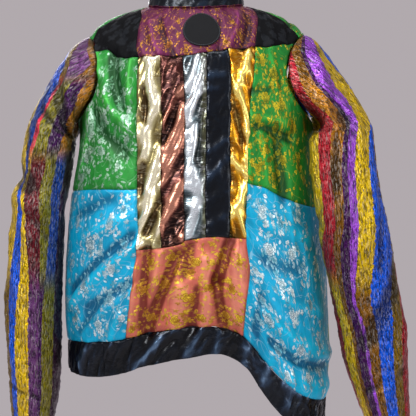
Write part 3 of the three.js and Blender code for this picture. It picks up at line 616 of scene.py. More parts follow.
def front_patch(side):
    underarm = FRONT_UNDERARM / FRONT_ROWS
    shoulder = 1 - FRONT_SHOULDER / FRONT_ROWS

    def outer(v):
        deg, level = armhole(mix(180, 360 + SEAM_TURN, (v - underarm) / (shoulder - underarm)), side)
        over = toward_neck(SHOULDER_POINT, NECK_LEVEL, np.clip((v - shoulder) / (1 - shoulder), 0, 1))
        deg = np.where(v < underarm, side * 90, np.where(v > shoulder, side * SHOULDER_DEG, deg))
        return deg, np.where(v < underarm, v / underarm, np.where(v > shoulder, over, level))

    def middle_level(v):
        chest = mix(1, CHEST_TOP, (v - underarm) / (shoulder - underarm))
        over = toward_neck(CHEST_TOP, NECK_LEVEL, np.clip((v - shoulder) / (1 - shoulder), 0, 1))
        return np.where(v < underarm, v / underarm, np.where(v < shoulder, chest, over))

    def middle(v):
        level = middle_level(np.asarray(v, float))
        return side * front_girth(ZIP_EDGE, level), level

    def across(level, outer_deg):
        edge = float(front_girth(ZIP_EDGE, level))
        return lambda u: (side * mix(outer_deg, edge, u), level + 0 * u)

    low, high = across(0.0, 90), across(NECK_LEVEL, SHOULDER_DEG)
    if side < 0:
        return patch_between(low, high, outer, middle)
    return patch_between(lambda x: low(1 - x), lambda x: high(1 - x), middle, outer)


BAND_TOP_LEVEL = -0.012
BAND_SEAM_LEFT, BAND_SEAM_RIGHT = 39, -96


def band_patch(start, end):
    def level_of(v):
        return mix(-1, BAND_TOP_LEVEL, v)

    def across(level):
        a, b = float(start(level)), float(end(level))
        return lambda u: (mix(a, b, u), level + 0 * u)

    return patch_between(
        across(-1.0),
        across(BAND_TOP_LEVEL),
        lambda v: (start(level_of(v)), level_of(v)),
        lambda v: (end(level_of(v)), level_of(v)),
    )


def fixed(deg):
    return lambda level: deg + 0 * np.asarray(level, float)


def band_front(side):
    return lambda level: side * front_girth(ZIP_EDGE, level)


# Sleeves. Columns: height, centre across, centre back, half width, half depth, turn.
SLEEVE_LEFT = [
    (-215, 248, 26, 43, 56, 0),
    (-316, 263, 34, 44, 54, 0),
    (-400, 270, 38, 46, 51, 0),
    (-485, 274, 36, 47, 48, 0),
    (-570, 275, 30, 46, 46, 0),
    (-630, 276, 24, 43, 45, 0),
    (-666, 278, 21, 39, 42, 0),
    (-694, 280, 19, 35, 38, 0),
]
SLEEVE_RIGHT = [
    (-215, 246, 60, 57, 40, 36),
    (-316, 258, 80, 60, 40, 34),
    (-370, 267, 76, 59, 43, 24),
    (-430, 279, 60, 57, 45, 12),
    (-502, 292, 48, 56, 46, 6),
    (-570, 303, 38, 54, 45, 0),
    (-630, 314, 30, 45, 42, 0),
    (-664, 321, 27, 40, 39, 0),
    (-690, 327, 25, 35, 37, 0),
]
HEAD_SHARE, SLEEVE_EXPONENT, ARMHOLE_INSET = 0.3, 2.15, 0.6
EASE_LEFT, EASE_RIGHT = 10, 72
SLEEVE_LONG, SLEEVE_MM_PER_DEG = 720, 0.9
# The share of a sleeve's length over which its folds fade at each end.
FOLD_CALM = 0.06
# How far the sleeve's upper edge stands out of the armhole, and how much more on its inner side.
START_OUT, START_INSIDE = 0.4, 2
# How fast the head leaves the armhole: outwards with more outside and in front, back, and up.
LEAVE_OUT, LEAVE_OUTSIDE, LEAVE_FRONT = 70, 44, 40
LEAVE_BACK, LEAVE_UP, LEAVE_UP_OUTSIDE = 30, -22, 16
# How fast it arrives at the sleeve's first row, and how much faster outside.
ARRIVE, ARRIVE_OUTSIDE = 78, 52
# The step between neighbours along a sleeve, as a share of its length.
NEAR_SHARE = 0.02
# Sleeve folds: start around, start along, end around, end along, half width, rise.
SLEEVE_FOLDS_LEFT = [
    (30, 60, 120, 110, 13, 8),
    (60, 110, 130, 150, 12, -7),
    (-20, 250, 60, 275, 12, -9),
    (0, 285, 90, 300, 13, 6),
    (70, 320, 100, 420, 14, 4),
    (20, 430, 60, 540, 14, 4),
    (-60, 180, -120, 240, 14, 5),
    (-80, 330, -140, 300, 13, -5),
    (120, 200, 140, 300, 12, 4),
    (55, 85, 125, 128, 6, 4),
    (45, 150, 110, 175, 7, -4),
    (60, 175, 100, 245, 8, 4),
    (30, 200, 60, 262, 7, -3),
    (50, 300, 110, 340, 7, -3),
    (20, 340, 60, 420, 8, 3),
    (60, 440, 110, 520, 9, 3),
    (10, 560, 90, 600, 8, -3),
]
SLEEVE_FOLDS_RIGHT = [
    (40, 70, 110, 130, 13, 7),
    (20, 120, 60, 260, 13, 5),
    (80, 150, 120, 260, 12, -5),
    (60, 300, 110, 420, 13, 4),
    (30, 420, 90, 500, 13, -5),
    (20, 500, 80, 600, 13, 5),
    (-60, 190, -120, 240, 14, 5),
    (-80, 340, -140, 310, 13, -5),
    (-30, 60, -90, 120, 13, 5),
    (60, 100, 76, 250, 6, 3),
    (100, 180, 112, 330, 7, 3),
    (40, 260, 60, 400, 7, -3),
    (85, 380, 100, 480, 7, 3),
    (15, 440, 70, 470, 7, -3),
    (30, 560, 110, 585, 8, -3),
]


def sleeve_axis(rows, turn):
    """A sleeve's way down and its section, both at a share of the way down its rows."""
    places = [(i / (len(rows) - 1), *row) for i, row in enumerate(rows)]
    z, cx, cy, wide, deep, tilt = (curve(places, k) for k in range(1, 7))
    c, s = np.cos(np.radians(turn)), np.sin(np.radians(turn))

    def centre(place):
        return np.stack([cx(place), cy(place), z(place)], -1)

    def along(place):
        below = centre(np.minimum(place + NEAR_SHARE, 1))
        return unit(below - centre(np.maximum(place - NEAR_SHARE, 0)))

    def section(place):
        way = along(place)
        out = unit(np.array([1.0, 0, 0]) - way * way[..., :1])
        back = np.cross(out, way)
        t = np.radians(tilt(place))
        p = power(c, 2 / SLEEVE_EXPONENT) * wide(place)
        q = power(s, 2 / SLEEVE_EXPONENT) * deep(place)
        a = (p * np.cos(t) + q * np.sin(t))[..., None]
        b = (q * np.cos(t) - p * np.sin(t))[..., None]
        return centre(place) + out * a + back * b

    return along, section


def sleeve_start(side, turn):
    """The sleeve's upper edge, just inside its armhole, on the wearer's left."""
    steps = np.arange(36) * 10.0
    middle = body_form(*armhole(steps, 1)).mean(axis=0)
    start = body(*armhole(turn, side))
    start[..., 0] *= side
    start = start + unit(middle - start) * ARMHOLE_INSET
    start[..., 0] += START_OUT + START_INSIDE * (1 - np.cos(np.radians(turn)))
    return start


def sleeve_form(rows, side, turn, f):
    """The smooth sleeve: turn 0 is outside, 90 behind; f runs from the armhole to the cuff."""
    turn, f = np.broadcast_arrays(np.asarray(turn, float), np.asarray(f, float))
    along, section = sleeve_axis(rows, turn)
    c, s = np.cos(np.radians(turn)), np.sin(np.radians(turn))
    lower = section(np.clip((f - HEAD_SHARE) / (1 - HEAD_SHARE), 0, 1))
    ease = EASE_LEFT if side > 0 else EASE_RIGHT
    leave = np.stack([
        LEAVE_OUT + LEAVE_OUTSIDE * c + LEAVE_FRONT * np.maximum(0, -s) + ease * np.maximum(0, -c),
        LEAVE_BACK * s,
        LEAVE_UP + LEAVE_UP_OUTSIDE * c,
    ], -1)
    arrive = along(np.zeros_like(f)) * (ARRIVE + ARRIVE_OUTSIDE * c)[..., None]
    h = np.clip(f / HEAD_SHARE, 0, 1)[..., None]
    head = (
        sleeve_start(side, turn) * (2 * h**3 - 3 * h**2 + 1)
        + leave * (h**3 - 2 * h**2 + h)
        + section(np.zeros_like(f)) * (3 * h**2 - 2 * h**3)
        + arrive * (h**3 - h**2)
    )
    points = np.where((f >= HEAD_SHARE)[..., None], lower, head)
    points[..., 0] *= side
    return points


def sleeve_fold(folds, turn, f):
    """The height of a sleeve's folds, which run on across its first and last column."""
    signed = np.where(turn > 180, turn - 360, turn)
    height = 0
    for shift in (0, -360, 360):
        height = height + fold(folds, (signed + shift) * SLEEVE_MM_PER_DEG, f * SLEEVE_LONG)
    return height


def sleeve_surface(rows, folds, side, turn, f):
    """The sleeve with its folds, on a grid whose columns run to the right and rows up."""
    smooth = sleeve_form(rows, side, turn, f)
    calm = np.clip(np.minimum(f, 1 - f) / FOLD_CALM, 0, 1)
    return smooth + grid_normal(smooth) * (sleeve_fold(folds, turn, f) * calm)[..., None]


CUFF_LONG, CUFF_GAP, CUFF_TOP, CUFF_TAPER = 48, 0.4, 0.985, 0.94


def cuff_surface(rows, folds, side, turn, f):
    """The cuff's smooth form below the end of a sleeve."""
    column, end = np.broadcast_arrays(turn[:, :1], np.linspace(0.94, 1, 7)[None, :])
    ends = sleeve_surface(rows, folds, side, column, end)
    last = ends[:, -1]
    middle = last[:-1].mean(axis=0)
    way = unit(middle - ends[:-1, 3].mean(axis=0))
    off = (last - middle)[:, None, :]
    down = way * (CUFF_GAP + f * CUFF_LONG)[..., None]
    return middle + off * mix(CUFF_TOP, CUFF_TAPER, f)[..., None] + down


def collar_form(deg, up):
    """The collar from its seat on the neck's seam to its top."""
    seat = body_form(deg, neck_line(deg)) * np.array([COLLAR_SEAT, COLLAR_SEAT, 1])
    seat = seat + np.array([0, 0, COLLAR_SEAT_LIFT])
    x, y = ring(*COLLAR_TOP, 2, deg)
    top = np.stack([x, y, neck_height(np.abs(deg)) * COLLAR_LIFT + COLLAR_HEIGHT], -1)
    return mix(seat, top, up[..., None])


# Cloth, in millimetres.
WALL, BAND_WALL = 1.8, 2.0
SEAM_HALF_GAP = 0.12
SEAM_STEPS = (0, 0.8, 1.8, 3.2, 5)
SEAM_DEPTH, SEAM_WIDTH = 1.3, 2.2
PUCKER_HEIGHT, PUCKER_WIDTH, PUCKER_PITCH, PUCKER_AWAY, PUCKER_LONG = 0.5, 8, 7, 3, 30
# Fold height in millimetres over which the tone runs from painted shade in the troughs to painted light on
# the ridges.
TONE_RANGE = 9
CM = 10
# A motif's reach, and the place that stands for no motif, in the motif's radii.
MOTIF_EDGE, NO_MOTIF = 1.35, 9


def steps_along(length, cell):
    """Places from 0 to 1, close together next to the seams at both ends."""
    near = [step / length for step in SEAM_STEPS]
    count = max(2, int(round(length * (1 - 2 * near[-1]) / cell)))
    middle = np.linspace(near[-1], 1 - near[-1], count + 1)
    far = [1 - place for place in near[:-1]]
    return np.concatenate([near[:-1], middle, far[::-1]])


def run_length(points, axis):
    """How far each point of a grid lies along its row or column."""
    gap = np.linalg.norm(np.diff(points, axis=axis), axis=-1)
    start = np.zeros_like(np.take(gap, [0], axis=axis))
    return np.cumsum(np.concatenate([start, gap], axis=axis), axis=axis)


def seam_relief(points, seed, sides="lrud"):
    """How far the cloth dips at its seams, with small puckers beside them."""
    along_u, along_v = run_length(points, 0), run_length(points, 1)
    places = {
        "l": (along_u, along_v),
        "r": (along_u[-1:] - along_u, along_v),
        "d": (along_v, along_u),
        "u": (along_v[:, -1:] - along_v, along_u),
    }
    relief = np.zeros(points.shape[:2])
    for i, side in enumerate(sides):
        away, run = places[side]
        relief -= SEAM_DEPTH * np.exp(-((away / SEAM_WIDTH) ** 2))
        wave = ripple(run / PUCKER_PITCH, away / PUCKER_LONG, seed + i)
        relief += PUCKER_HEIGHT * wave * np.exp(-((away - PUCKER_AWAY) / PUCKER_WIDTH) ** 2)
    return relief


def mesh_from(bm, name):
    """A mesh of what a bmesh holds, which is freed."""
    mesh = bpy.data.meshes.new(name)
    bm.to_mesh(mesh)
    bm.free()
    return mesh


def place_in_scene(name, data):
    piece = bpy.data.objects.new(name, data)
    bpy.context.scene.collection.objects.link(piece)
    return piece


def grid_mesh(name, points, uv):
    """A mesh on a grid of points in millimetres, with each vertex's and each face corner's place in it."""
    columns, rows = points.shape[0] - 1, points.shape[1] - 1
    bm = bmesh.new()
    bm.loops.layers.uv.new("UVMap")
    bmesh.ops.create_grid(bm, x_segments=columns, y_segments=rows, size=0.5, calc_uvs=True)
    mesh = mesh_from(bm, name)
    place = np.empty(len(mesh.vertices) * 3)
    mesh.vertices.foreach_get("co", place)
    place = place.reshape(-1, 3)
    ix = np.rint((place[:, 0] + 0.5) * columns).astype(int)
    iy = np.rint((place[:, 1] + 0.5) * rows).astype(int)
    loops = np.empty(len(mesh.loops), int)
    mesh.loops.foreach_get("vertex_index", loops)
    vertex, corner = (ix, iy), (ix[loops], iy[loops])
    mesh.vertices.foreach_set("co", (points[vertex] * MM).ravel())
    mesh.uv_layers["UVMap"].data.foreach_set("uv", uv[corner].ravel())
    mesh.update()
    return mesh, vertex, corner


def motif_places(uv_of_corners, motifs):
    """Each face's place within the woven motif nearest to it, in the motif's radii."""
    table = np.array(motifs, float)
    spot = uv_of_corners.reshape(-1, 4, 2) * CM
    off = spot.mean(axis=1)[:, None, :] - table[None, :, :2]
    reach = np.hypot(off[..., 0], off[..., 1]) / table[None, :, 2]
    nearest = reach.argmin(axis=1)
    local = (spot - table[nearest, None, :2]) / table[nearest, None, 2:3]
    local[reach.min(axis=1) > MOTIF_EDGE] = NO_MOTIF
    return local


def add_map(mesh, name, places):
    """A further map of each face corner, which a pattern reads."""
    layer = mesh.uv_layers.new(name=name)
    layer.data.foreach_set("uv", places.ravel())


def close_round(mesh):
    """Joins the first column of a tube to its last."""
    bm = bmesh.new()
    bm.from_mesh(mesh)
    bmesh.ops.remove_doubles(bm, verts=bm.verts, dist=1e-6)
    bm.to_mesh(mesh)
    bm.free()


def lay_cloth(name, points, uv, relief, height, material, wall=WALL, motifs=(), stripes=None, closed=False):
    """A piece of cloth: a fine grid raised by its relief, its wall towards the inside.

    The height tells troughs from ridges; the materials turn it into painted shade in the troughs and
    painted light on the ridges."""
    raised = points + grid_normal(points) * relief[..., None]
    if closed:
        raised[[0, -1]] = (raised[0] + raised[-1]) / 2
    mesh, vertex, corner = grid_mesh(name, raised, uv)
    if len(motifs):
        add_map(mesh, "motif", motif_places(uv[corner], motifs))
    if stripes is not None:
        add_map(mesh, "stripes", stripes[corner])
    # The tone is the fold height from 0 in the troughs to 1 on the ridges, which sets painted shade and
    # painted light.
    tone = mesh.attributes.new("tone", "FLOAT", "POINT")
    tone.data.foreach_set("value", np.clip(0.5 + height[vertex] / TONE_RANGE, 0, 1))
    if closed:
        close_round(mesh)
    mesh.shade_smooth()
    mesh.materials.append(material)
    piece = place_in_scene(name, mesh)
    shell = piece.modifiers.new("Wall", "SOLIDIFY")
    shell.thickness = wall * MM
    shell.offset = -1
    return piece


def declare_cloth(piece, node):
    """Hides the part that the cloth stands for and parents the cloth to the jacket's body."""
    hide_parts(node)
    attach(piece, ROOT)


# Node helpers.
def plug(tree, socket, value):
    if isinstance(value, bpy.types.NodeSocket):
        tree.links.new(value, socket)
    else:
        socket.default_value = value


def put(tree, kind, inputs=None, **settings):
    node = tree.nodes.new(kind)
    for name, value in settings.items():
        setattr(node, name, value)
    for name, value in (inputs or {}).items():
        plug(tree, node.inputs[name], value)
    return node


def calc(tree, operation, *values, clamp=False):
    node = put(tree, "ShaderNodeMath", operation=operation, use_clamp=clamp)
    for socket, value in zip(node.inputs, values):
        plug(tree, socket, value)
    return node.outputs[0]


def times(tree, a, b):
    return calc(tree, "MULTIPLY", a, b)


def plus(tree, a, b):
    return calc(tree, "ADD", a, b)


def minus(tree, a, b):
    return calc(tree, "SUBTRACT", a, b)


def highest(tree, a, b):
    return calc(tree, "MAXIMUM", a, b)


def vector_calc(tree, operation, *values, out="Vector", scale=None):
    node = put(tree, "ShaderNodeVectorMath", operation=operation)
    for socket, value in zip(node.inputs, values):
        plug(tree, socket, value)
    if scale is not None:
        plug(tree, node.inputs["Scale"], scale)
    return node.outputs[out]


def blend(tree, share, a, b, kind="MIX"):
    node = put(tree, "ShaderNodeMix", data_type="RGBA", blend_type=kind)
    for index, value in ((0, share), (6, a), (7, b)):
        plug(tree, node.inputs[index], value)
    return node.outputs[2]


def blend_value(tree, share, a, b):
    node = put(tree, "ShaderNodeMix", data_type="FLOAT")
    for index, value in ((0, share), (2, a), (3, b)):
        plug(tree, node.inputs[index], value)
    return node.outputs[0]


def ramp(tree, value, stops, steps=False):
    """Colours along a value; with steps each colour runs on unchanged to the next stop."""
    node = put(tree, "ShaderNodeValToRGB", {"Fac": value})
    band = node.color_ramp
    band.interpolation = "CONSTANT" if steps else "LINEAR"
    while len(band.elements) < len(stops):
        band.elements.new(0.5)
    for element, (place, colour) in zip(band.elements, stops):
        element.position = place
        element.color = colour
    return node.outputs["Color"]


def edge(tree, value, low, high):
    """0 below low, 1 above high, smooth between."""
    return put(tree, "ShaderNodeMapRange", {
        "Value": value, "From Min": low, "From Max": high,
    }, interpolation_type="SMOOTHSTEP").outputs["Result"]


def near_value(tree, value, place, width):
    """1 close to a place, 0 further away than a width."""
    return edge(tree, calc(tree, "ABSOLUTE", minus(tree, value, place)), width, width * 0.4)


def noise(tree, vector, scale, detail=2.0, roughness=0.5):
    return put(tree, "ShaderNodeTexNoise", {
        "Vector": vector, "Scale": scale, "Detail": detail, "Roughness": roughness,
    }, noise_type="FBM", normalize=True).outputs[0]


def bent_place(tree, place, scale, sway):
    """A place moved about by slow noise, so that what is laid out on it runs unevenly."""
    slow = put(tree, "ShaderNodeTexNoise", {"Vector": place, "Scale": scale, "Detail": 1.0})
    drift = vector_calc(tree, "SCALE", slow.outputs["Color"], scale=sway)
    return vector_calc(tree, "ADD", place, drift)


def split_xyz(tree, vector):
    return put(tree, "ShaderNodeSeparateXYZ", {"Vector": vector}).outputs


def fold_shade_level(tree):
    """0 in the troughs of the folds, 1 on their ridges: the level of painted shade and painted light."""
    return put(tree, "ShaderNodeAttribute", attribute_name="tone").outputs["Fac"]


def stretched(tree, vector, scale, turn=0.0):
    return put(tree, "ShaderNodeMapping", {
        "Vector": vector, "Scale": scale, "Rotation": (0, 0, math.radians(turn)),
    }).outputs["Vector"]


def new_group(name, inputs, outputs):
    """A shared group of nodes with named inputs and outputs."""
    tree = bpy.data.node_groups.new(name, "ShaderNodeTree")
    for label, kind, value in inputs:
        socket = tree.interface.new_socket(label, in_out="INPUT", socket_type=kind)
        if value is not None:
            socket.default_value = value
    for label, kind in outputs:
        tree.interface.new_socket(label, in_out="OUTPUT", socket_type=kind)
    return tree, tree.nodes.new("NodeGroupInput").outputs, tree.nodes.new("NodeGroupOutput").inputs


def use_group(tree, name, **inputs):
    node = put(tree, "ShaderNodeGroup", node_tree=bpy.data.node_groups[name])
    for label, value in inputs.items():
        plug(tree, node.inputs[label], value)
    return node.outputs


FLOAT, VECTOR = "NodeSocketFloat", "NodeSocketVector"
FULL_TURN = 6.28
# Waves of the threads in radians: across and along a centimetre of cloth, and in a metre of twill.
WARP_WAVE, WEFT_WAVE, TWILL_WAVE = 88.0, 110.0, 3200.0


def make_flower_group():
    """A woven flower about the middle of its own measure, radius 1."""
    tree, given, made = new_group(
        "Woven flower",
        [("Place", VECTOR, None), ("Petals", FLOAT, 5.0), ("Turn", FLOAT, 0.0)],
        [("Petal", FLOAT), ("Line", FLOAT)],
    )
    split = split_xyz(tree, given["Place"])
    away = vector_calc(tree, "LENGTH", given["Place"], out="Value")
    angle = plus(tree, calc(tree, "ARCTAN2", split["Y"], split["X"]), given["Turn"])
    half = times(tree, given["Petals"], 0.5)
    wave = calc(tree, "ABSOLUTE", calc(tree, "COSINE", times(tree, angle, half)))
    rim = plus(tree, times(tree, calc(tree, "POWER", wave, 0.6), 0.42), 0.55)
    inside = edge(tree, minus(tree, rim, away), 0.0, 0.06)
    outline = near_value(tree, minus(tree, rim, away), 0.07, 0.07)
    inner = near_value(tree, calc(tree, "DIVIDE", away, rim), 0.56, 0.07)
    notch = times(tree, edge(tree, wave, 0.2, 0.05), edge(tree, away, 0.2, 0.3))
    ring_line = near_value(tree, away, 0.27, 0.05)
    lines = highest(tree, highest(tree, outline, inner), highest(tree, notch, ring_line))
    plug(tree, made["Petal"], inside)
    plug(tree, made["Line"], times(tree, lines, inside))


def cell_place(tree, place, per_cm, randomness):
    """The place within the nearest of many uneven cells, in cells, and each cell's own chances."""
    cell = put(tree, "ShaderNodeTexVoronoi", {
        "Vector": place, "Scale": per_cm, "Randomness": randomness,
    }, voronoi_dimensions="2D").outputs
    off = vector_calc(tree, "SUBTRACT", place, cell["Position"])
    local = vector_calc(tree, "SCALE", off, scale=per_cm)
    return local, put(tree, "ShaderNodeSeparateColor", {"Color": cell["Color"]}).outputs


def leaf_shape(tree, local, turn):
    """A pointed leaf with a vein, in a cell's own measure."""
    turned = put(tree, "ShaderNodeVectorRotate", {"Vector": local, "Angle": turn}, rotation_type="Z_AXIS")
    part = split_xyz(tree, turned.outputs[0])
    reach = times(tree, part["X"], 2.0)
    width = times(tree, minus(tree, 1.0, times(tree, reach, reach)), 0.24)
    off = calc(tree, "ABSOLUTE", part["Y"])
    leaf = edge(tree, minus(tree, width, off), 0.0, 0.06)
    return times(tree, leaf, edge(tree, off, 0.0, 0.05))


def make_scatter_group():
    """Small flowers, leaves and stems strewn over the cloth, its measure in centimetres."""
    tree, given, made = new_group(
        "Strewn flowers",
        [("Place", VECTOR, None), ("Per cm", FLOAT, 0.5), ("Share", FLOAT, 0.7)],
        [("Petal", FLOAT), ("Line", FLOAT), ("Leaf", FLOAT)],
    )
    bent = bent_place(tree, given["Place"], 0.35, 1.2)
    local, chance = cell_place(tree, bent, given["Per cm"], 0.75)
    size = plus(tree, times(tree, chance["Green"], 0.7), 1.55)
    sized = vector_calc(tree, "SCALE", local, scale=size)
    flower = use_group(tree, "Woven flower", Place=sized, Turn=times(tree, chance["Red"], FULL_TURN))
    chosen = calc(tree, "LESS_THAN", chance["Blue"], given["Share"])
    petal = times(tree, flower["Petal"], chosen)
    plug(tree, made["Petal"], petal)
    plug(tree, made["Line"], times(tree, flower["Line"], chosen))
    shifted = vector_calc(tree, "ADD", bent, (3.7, 1.9, 0))
    local, chance = cell_place(tree, shifted, times(tree, given["Per cm"], 1.6), 0.9)
    kept = calc(tree, "LESS_THAN", chance["Blue"], times(tree, given["Share"], 0.8))
    leaf = times(tree, leaf_shape(tree, local, times(tree, chance["Red"], FULL_TURN)), kept)
    stem = near_value(tree, noise(tree, bent, 0.42, 0.0), 0.5, 0.012)
    spray = highest(tree, leaf, times(tree, stem, 0.35))
    plug(tree, made["Leaf"], times(tree, spray, minus(tree, 1.0, petal)))


def make_weave_group():
    """Fine threads that cross, its measure in centimetres."""
    tree, given, made = new_group("Weave", [("Place", VECTOR, None)], [("Height", FLOAT), ("Tone", FLOAT)])
    split = split_xyz(tree, given["Place"])
    warp = calc(tree, "SINE", times(tree, split["X"], WARP_WAVE))
    weft = calc(tree, "SINE", times(tree, split["Y"], WEFT_WAVE))
    plug(tree, made["Height"], times(tree, times(tree, warp, weft), 0.5))
    plug(tree, made["Tone"], noise(tree, stretched(tree, given["Place"], (9.0, 1.6, 1.0)), 1.0))


def make_crinkle_group():
    """Fine crinkles of pressed metallic cloth, its measure in centimetres."""
    tree, given, made = new_group(
        "Crinkle",
        [("Place", VECTOR, None), ("Size", FLOAT, 1.0)],
        [("Height", FLOAT), ("Glint", FLOAT), ("Crack", FLOAT)],
    )
    bent = bent_place(tree, given["Place"], 0.6, 0.8)
    sized = vector_calc(tree, "SCALE", bent, scale=given["Size"])
    wide = noise(tree, sized, 1.4, 3.0, 0.6)
    slanting = noise(tree, stretched(tree, sized, (0.7, 1.9, 1.0), 12), 1.6)
    off = calc(tree, "ABSOLUTE", times(tree, minus(tree, slanting, 0.5), 5.0))
    ridge = minus(tree, 1.0, off)
    plug(tree, made["Height"], plus(tree, times(tree, wide, 0.5), times(tree, ridge, 0.5)))
    plug(tree, made["Glint"], edge(tree, times(tree, ridge, wide), 0.3, 0.6))
    plug(tree, made["Crack"], edge(tree, ridge, 0.25, 0.0))


def make_shadow_group():
    """Where cloth is darker in painted shade, in its troughs, and lighter in painted light, on its ridges.
    """
    tree, _, made = new_group("Painted fold shade", [], [("Light", FLOAT), ("Painted shade", FLOAT)])
    tone = fold_shade_level(tree)
    plug(tree, made["Light"], edge(tree, tone, 0.55, 0.95))
    plug(tree, made["Painted shade"], edge(tree, tone, 0.48, 0.1))


def shade(red, green, blue):
    """A colour given as 0 to 255 on the screen, in the scene's own linear light."""
    def line(value):
        value /= 255
        return value / 12.92 if value <= 0.04045 else ((value + 0.055) / 1.055) ** 2.4

    return (line(red), line(green), line(blue), 1.0)


def new_material(name):
    material = bpy.data.materials.new(name)
    material.use_nodes = True
    material.node_tree.nodes.clear()
    return material, material.node_tree


def cover(tree, colour, roughness, height, depth_mm, metallic=0.0, specular=0.5):
    """The surface that a material ends in, its height raised by a depth in millimetres."""
    raised = put(tree, "ShaderNodeBump", {"Height": height, "Distance": depth_mm * MM, "Strength": 1.0})
    surface = put(tree, "ShaderNodeBsdfPrincipled", {
        "Base Color": colour, "Roughness": roughness, "Metallic": metallic,
        "Specular IOR Level": specular, "Normal": raised.outputs["Normal"],
    })
    put(tree, "ShaderNodeOutputMaterial", {"Surface": surface.outputs[0]})


def cloth_place(tree, layer="UVMap"):
    return put(tree, "ShaderNodeUVMap", uv_map=layer).outputs["UV"]


def brocade_ground(tree, place, weave, folds, ground, deep, bright):
    """The satin between the flowers, its tone uneven at random, with painted light on the ridges of the
    folds and painted shade in their troughs.
    """
    patchy = noise(tree, place, 0.25, 3.0)
    colour = blend(tree, times(tree, edge(tree, patchy, 0.6, 0.35), 0.5), ground, deep)
    colour = blend(tree, times(tree, weave["Tone"], 0.3), colour, bright)
    # Painted light on the ridges of the folds and painted shade in their troughs.
    colour = blend(tree, times(tree, folds["Light"], 0.5), colour, bright)
    return blend(tree, times(tree, folds["Painted shade"], 0.85), colour, deep)


def brocade_figures(tree, place, per_cm, share, petals, big):
    """Where metallic thread lies and where its outlines run, large flowers before small ones."""
    motif_place = cloth_place(tree, "motif")
    outer = vector_calc(tree, "SCALE", motif_place, scale=1.8)
    inner = vector_calc(tree, "SCALE", motif_place, scale=3.4)
    motif = use_group(tree, "Woven flower", Place=outer, Petals=petals)
    core = use_group(tree, "Woven flower", Place=inner, Petals=petals, Turn=0.6)
    crowd = edge(tree, vector_calc(tree, "LENGTH", motif_place, out="Value"), 1.4, 1.0)
    chance = plus(tree, times(tree, crowd, 0.65), share)
    small = use_group(tree, "Strewn flowers", **{"Place": place, "Per cm": per_cm, "Share": chance})
    tiny = use_group(tree, "Strewn flowers", **{
        "Place": vector_calc(tree, "ADD", place, (41.0, 17.0, 0)),
        "Per cm": per_cm * 1.8,
        "Share": minus(tree, chance, 0.5),
    })
    away = minus(tree, 1.0, motif["Petal"])
    finer = times(tree, highest(tree, tiny["Petal"], tiny["Leaf"]), 0.75)
    strewn = highest(tree, highest(tree, small["Petal"], small["Leaf"]), finer)
    thread = highest(tree, times(tree, motif["Petal"], big), times(tree, strewn, away))
    lines = times(tree, times(tree, small["Line"], away), 0.65)
    return thread, highest(tree, lines, highest(tree, motif["Line"], core["Line"]))


def brocade(name, ground, deep, bright, thread, thread_dark, line_colour, per_cm, share, petals, big=0.9):
    """Satin woven with metallic flowers: large ones at their own places, small ones between."""
    material, tree = new_material(name)
    place = cloth_place(tree)
    weave = use_group(tree, "Weave", Place=place)
    folds = use_group(tree, "Painted fold shade")
    figure, lines = brocade_figures(tree, place, per_cm, share, petals, big)
    thread_tone_and_shade = blend(tree, edge(tree, noise(tree, place, 0.8, 3.0), 0.35, 0.6), thread_dark, thread)
    # Painted shade: the thread darker in the troughs of the folds.
    thread_tone_and_shade = blend(tree, times(tree, folds["Painted shade"], 0.7), thread_tone_and_shade, thread_dark)
    colour = blend(tree, figure, brocade_ground(tree, place, weave, folds, ground, deep, bright), thread_tone_and_shade)
    colour = blend(tree, times(tree, lines, 0.85), colour, line_colour)
    raised = plus(tree, times(tree, figure, 0.8), times(tree, lines, -0.5))
    raised = plus(tree, raised, times(tree, weave["Height"], 0.12))
    metallic = plus(tree, times(tree, figure, 0.4), 0.35)
    cover(tree, colour, blend_value(tree, figure, 0.42, 0.34), raised, 0.35, metallic, 0.3)
    return material


def lame(name, stops, roughness, crinkle_size, glint_colour, metallic=0.8, glint=0.2, painted_shade_drifts=()):
    """Shining metallic cloth: colours run from painted shade in its troughs to painted light on its ridges,
    with painted glints and slow painted shade over parts of it.
    """
    material, tree = new_material(name)
    place = cloth_place(tree)
    crinkle = use_group(tree, "Crinkle", Place=place, Size=crinkle_size)
    cloudy = noise(tree, stretched(tree, place, (0.5, 0.22, 1.0)), 1.0)
    level = plus(tree, fold_shade_level(tree), times(tree, minus(tree, cloudy, 0.5), 0.35))
    colour = ramp(tree, level, stops)
    run = split_xyz(tree, place)
    # Painted shade, darker towards one end or side of a strip.
    for axis, start, end, drift, share in painted_shade_drifts:
        colour = blend(tree, times(tree, edge(tree, run[axis], start, end), share), colour, drift)
    # Painted highlights on the glints.
    colour = blend(tree, times(tree, crinkle["Glint"], glint), colour, glint_colour)
    shine = blend_value(tree, crinkle["Glint"], roughness, roughness * 0.75)
    cover(tree, colour, shine, crinkle["Height"], 0.3, metallic)
    return material


def stripe_colours(tree, place, behind, front):
    """The colour of each stripe, which changes down the sleeve."""
    stripe = split_xyz(tree, cloth_place(tree, "stripes"))
    count = 2 * len(front)
    wobble = times(tree, minus(tree, noise(tree, place, 1.4, 3.0), 0.5), 0.3)
    along = calc(tree, "DIVIDE", plus(tree, stripe["X"], wobble), float(count))
    bands = []
    for colours in behind:
        stops = [(k / count, colour) for k, colour in enumerate(colours + front[::-1])]
        bands.append(ramp(tree, along, stops, steps=True))
    colour = bands[0]
    for (start, end), band in zip(COLOUR_CHANGES, bands[1:]):
        colour = blend(tree, edge(tree, stripe["Y"], start, end), colour, band)
    return colour


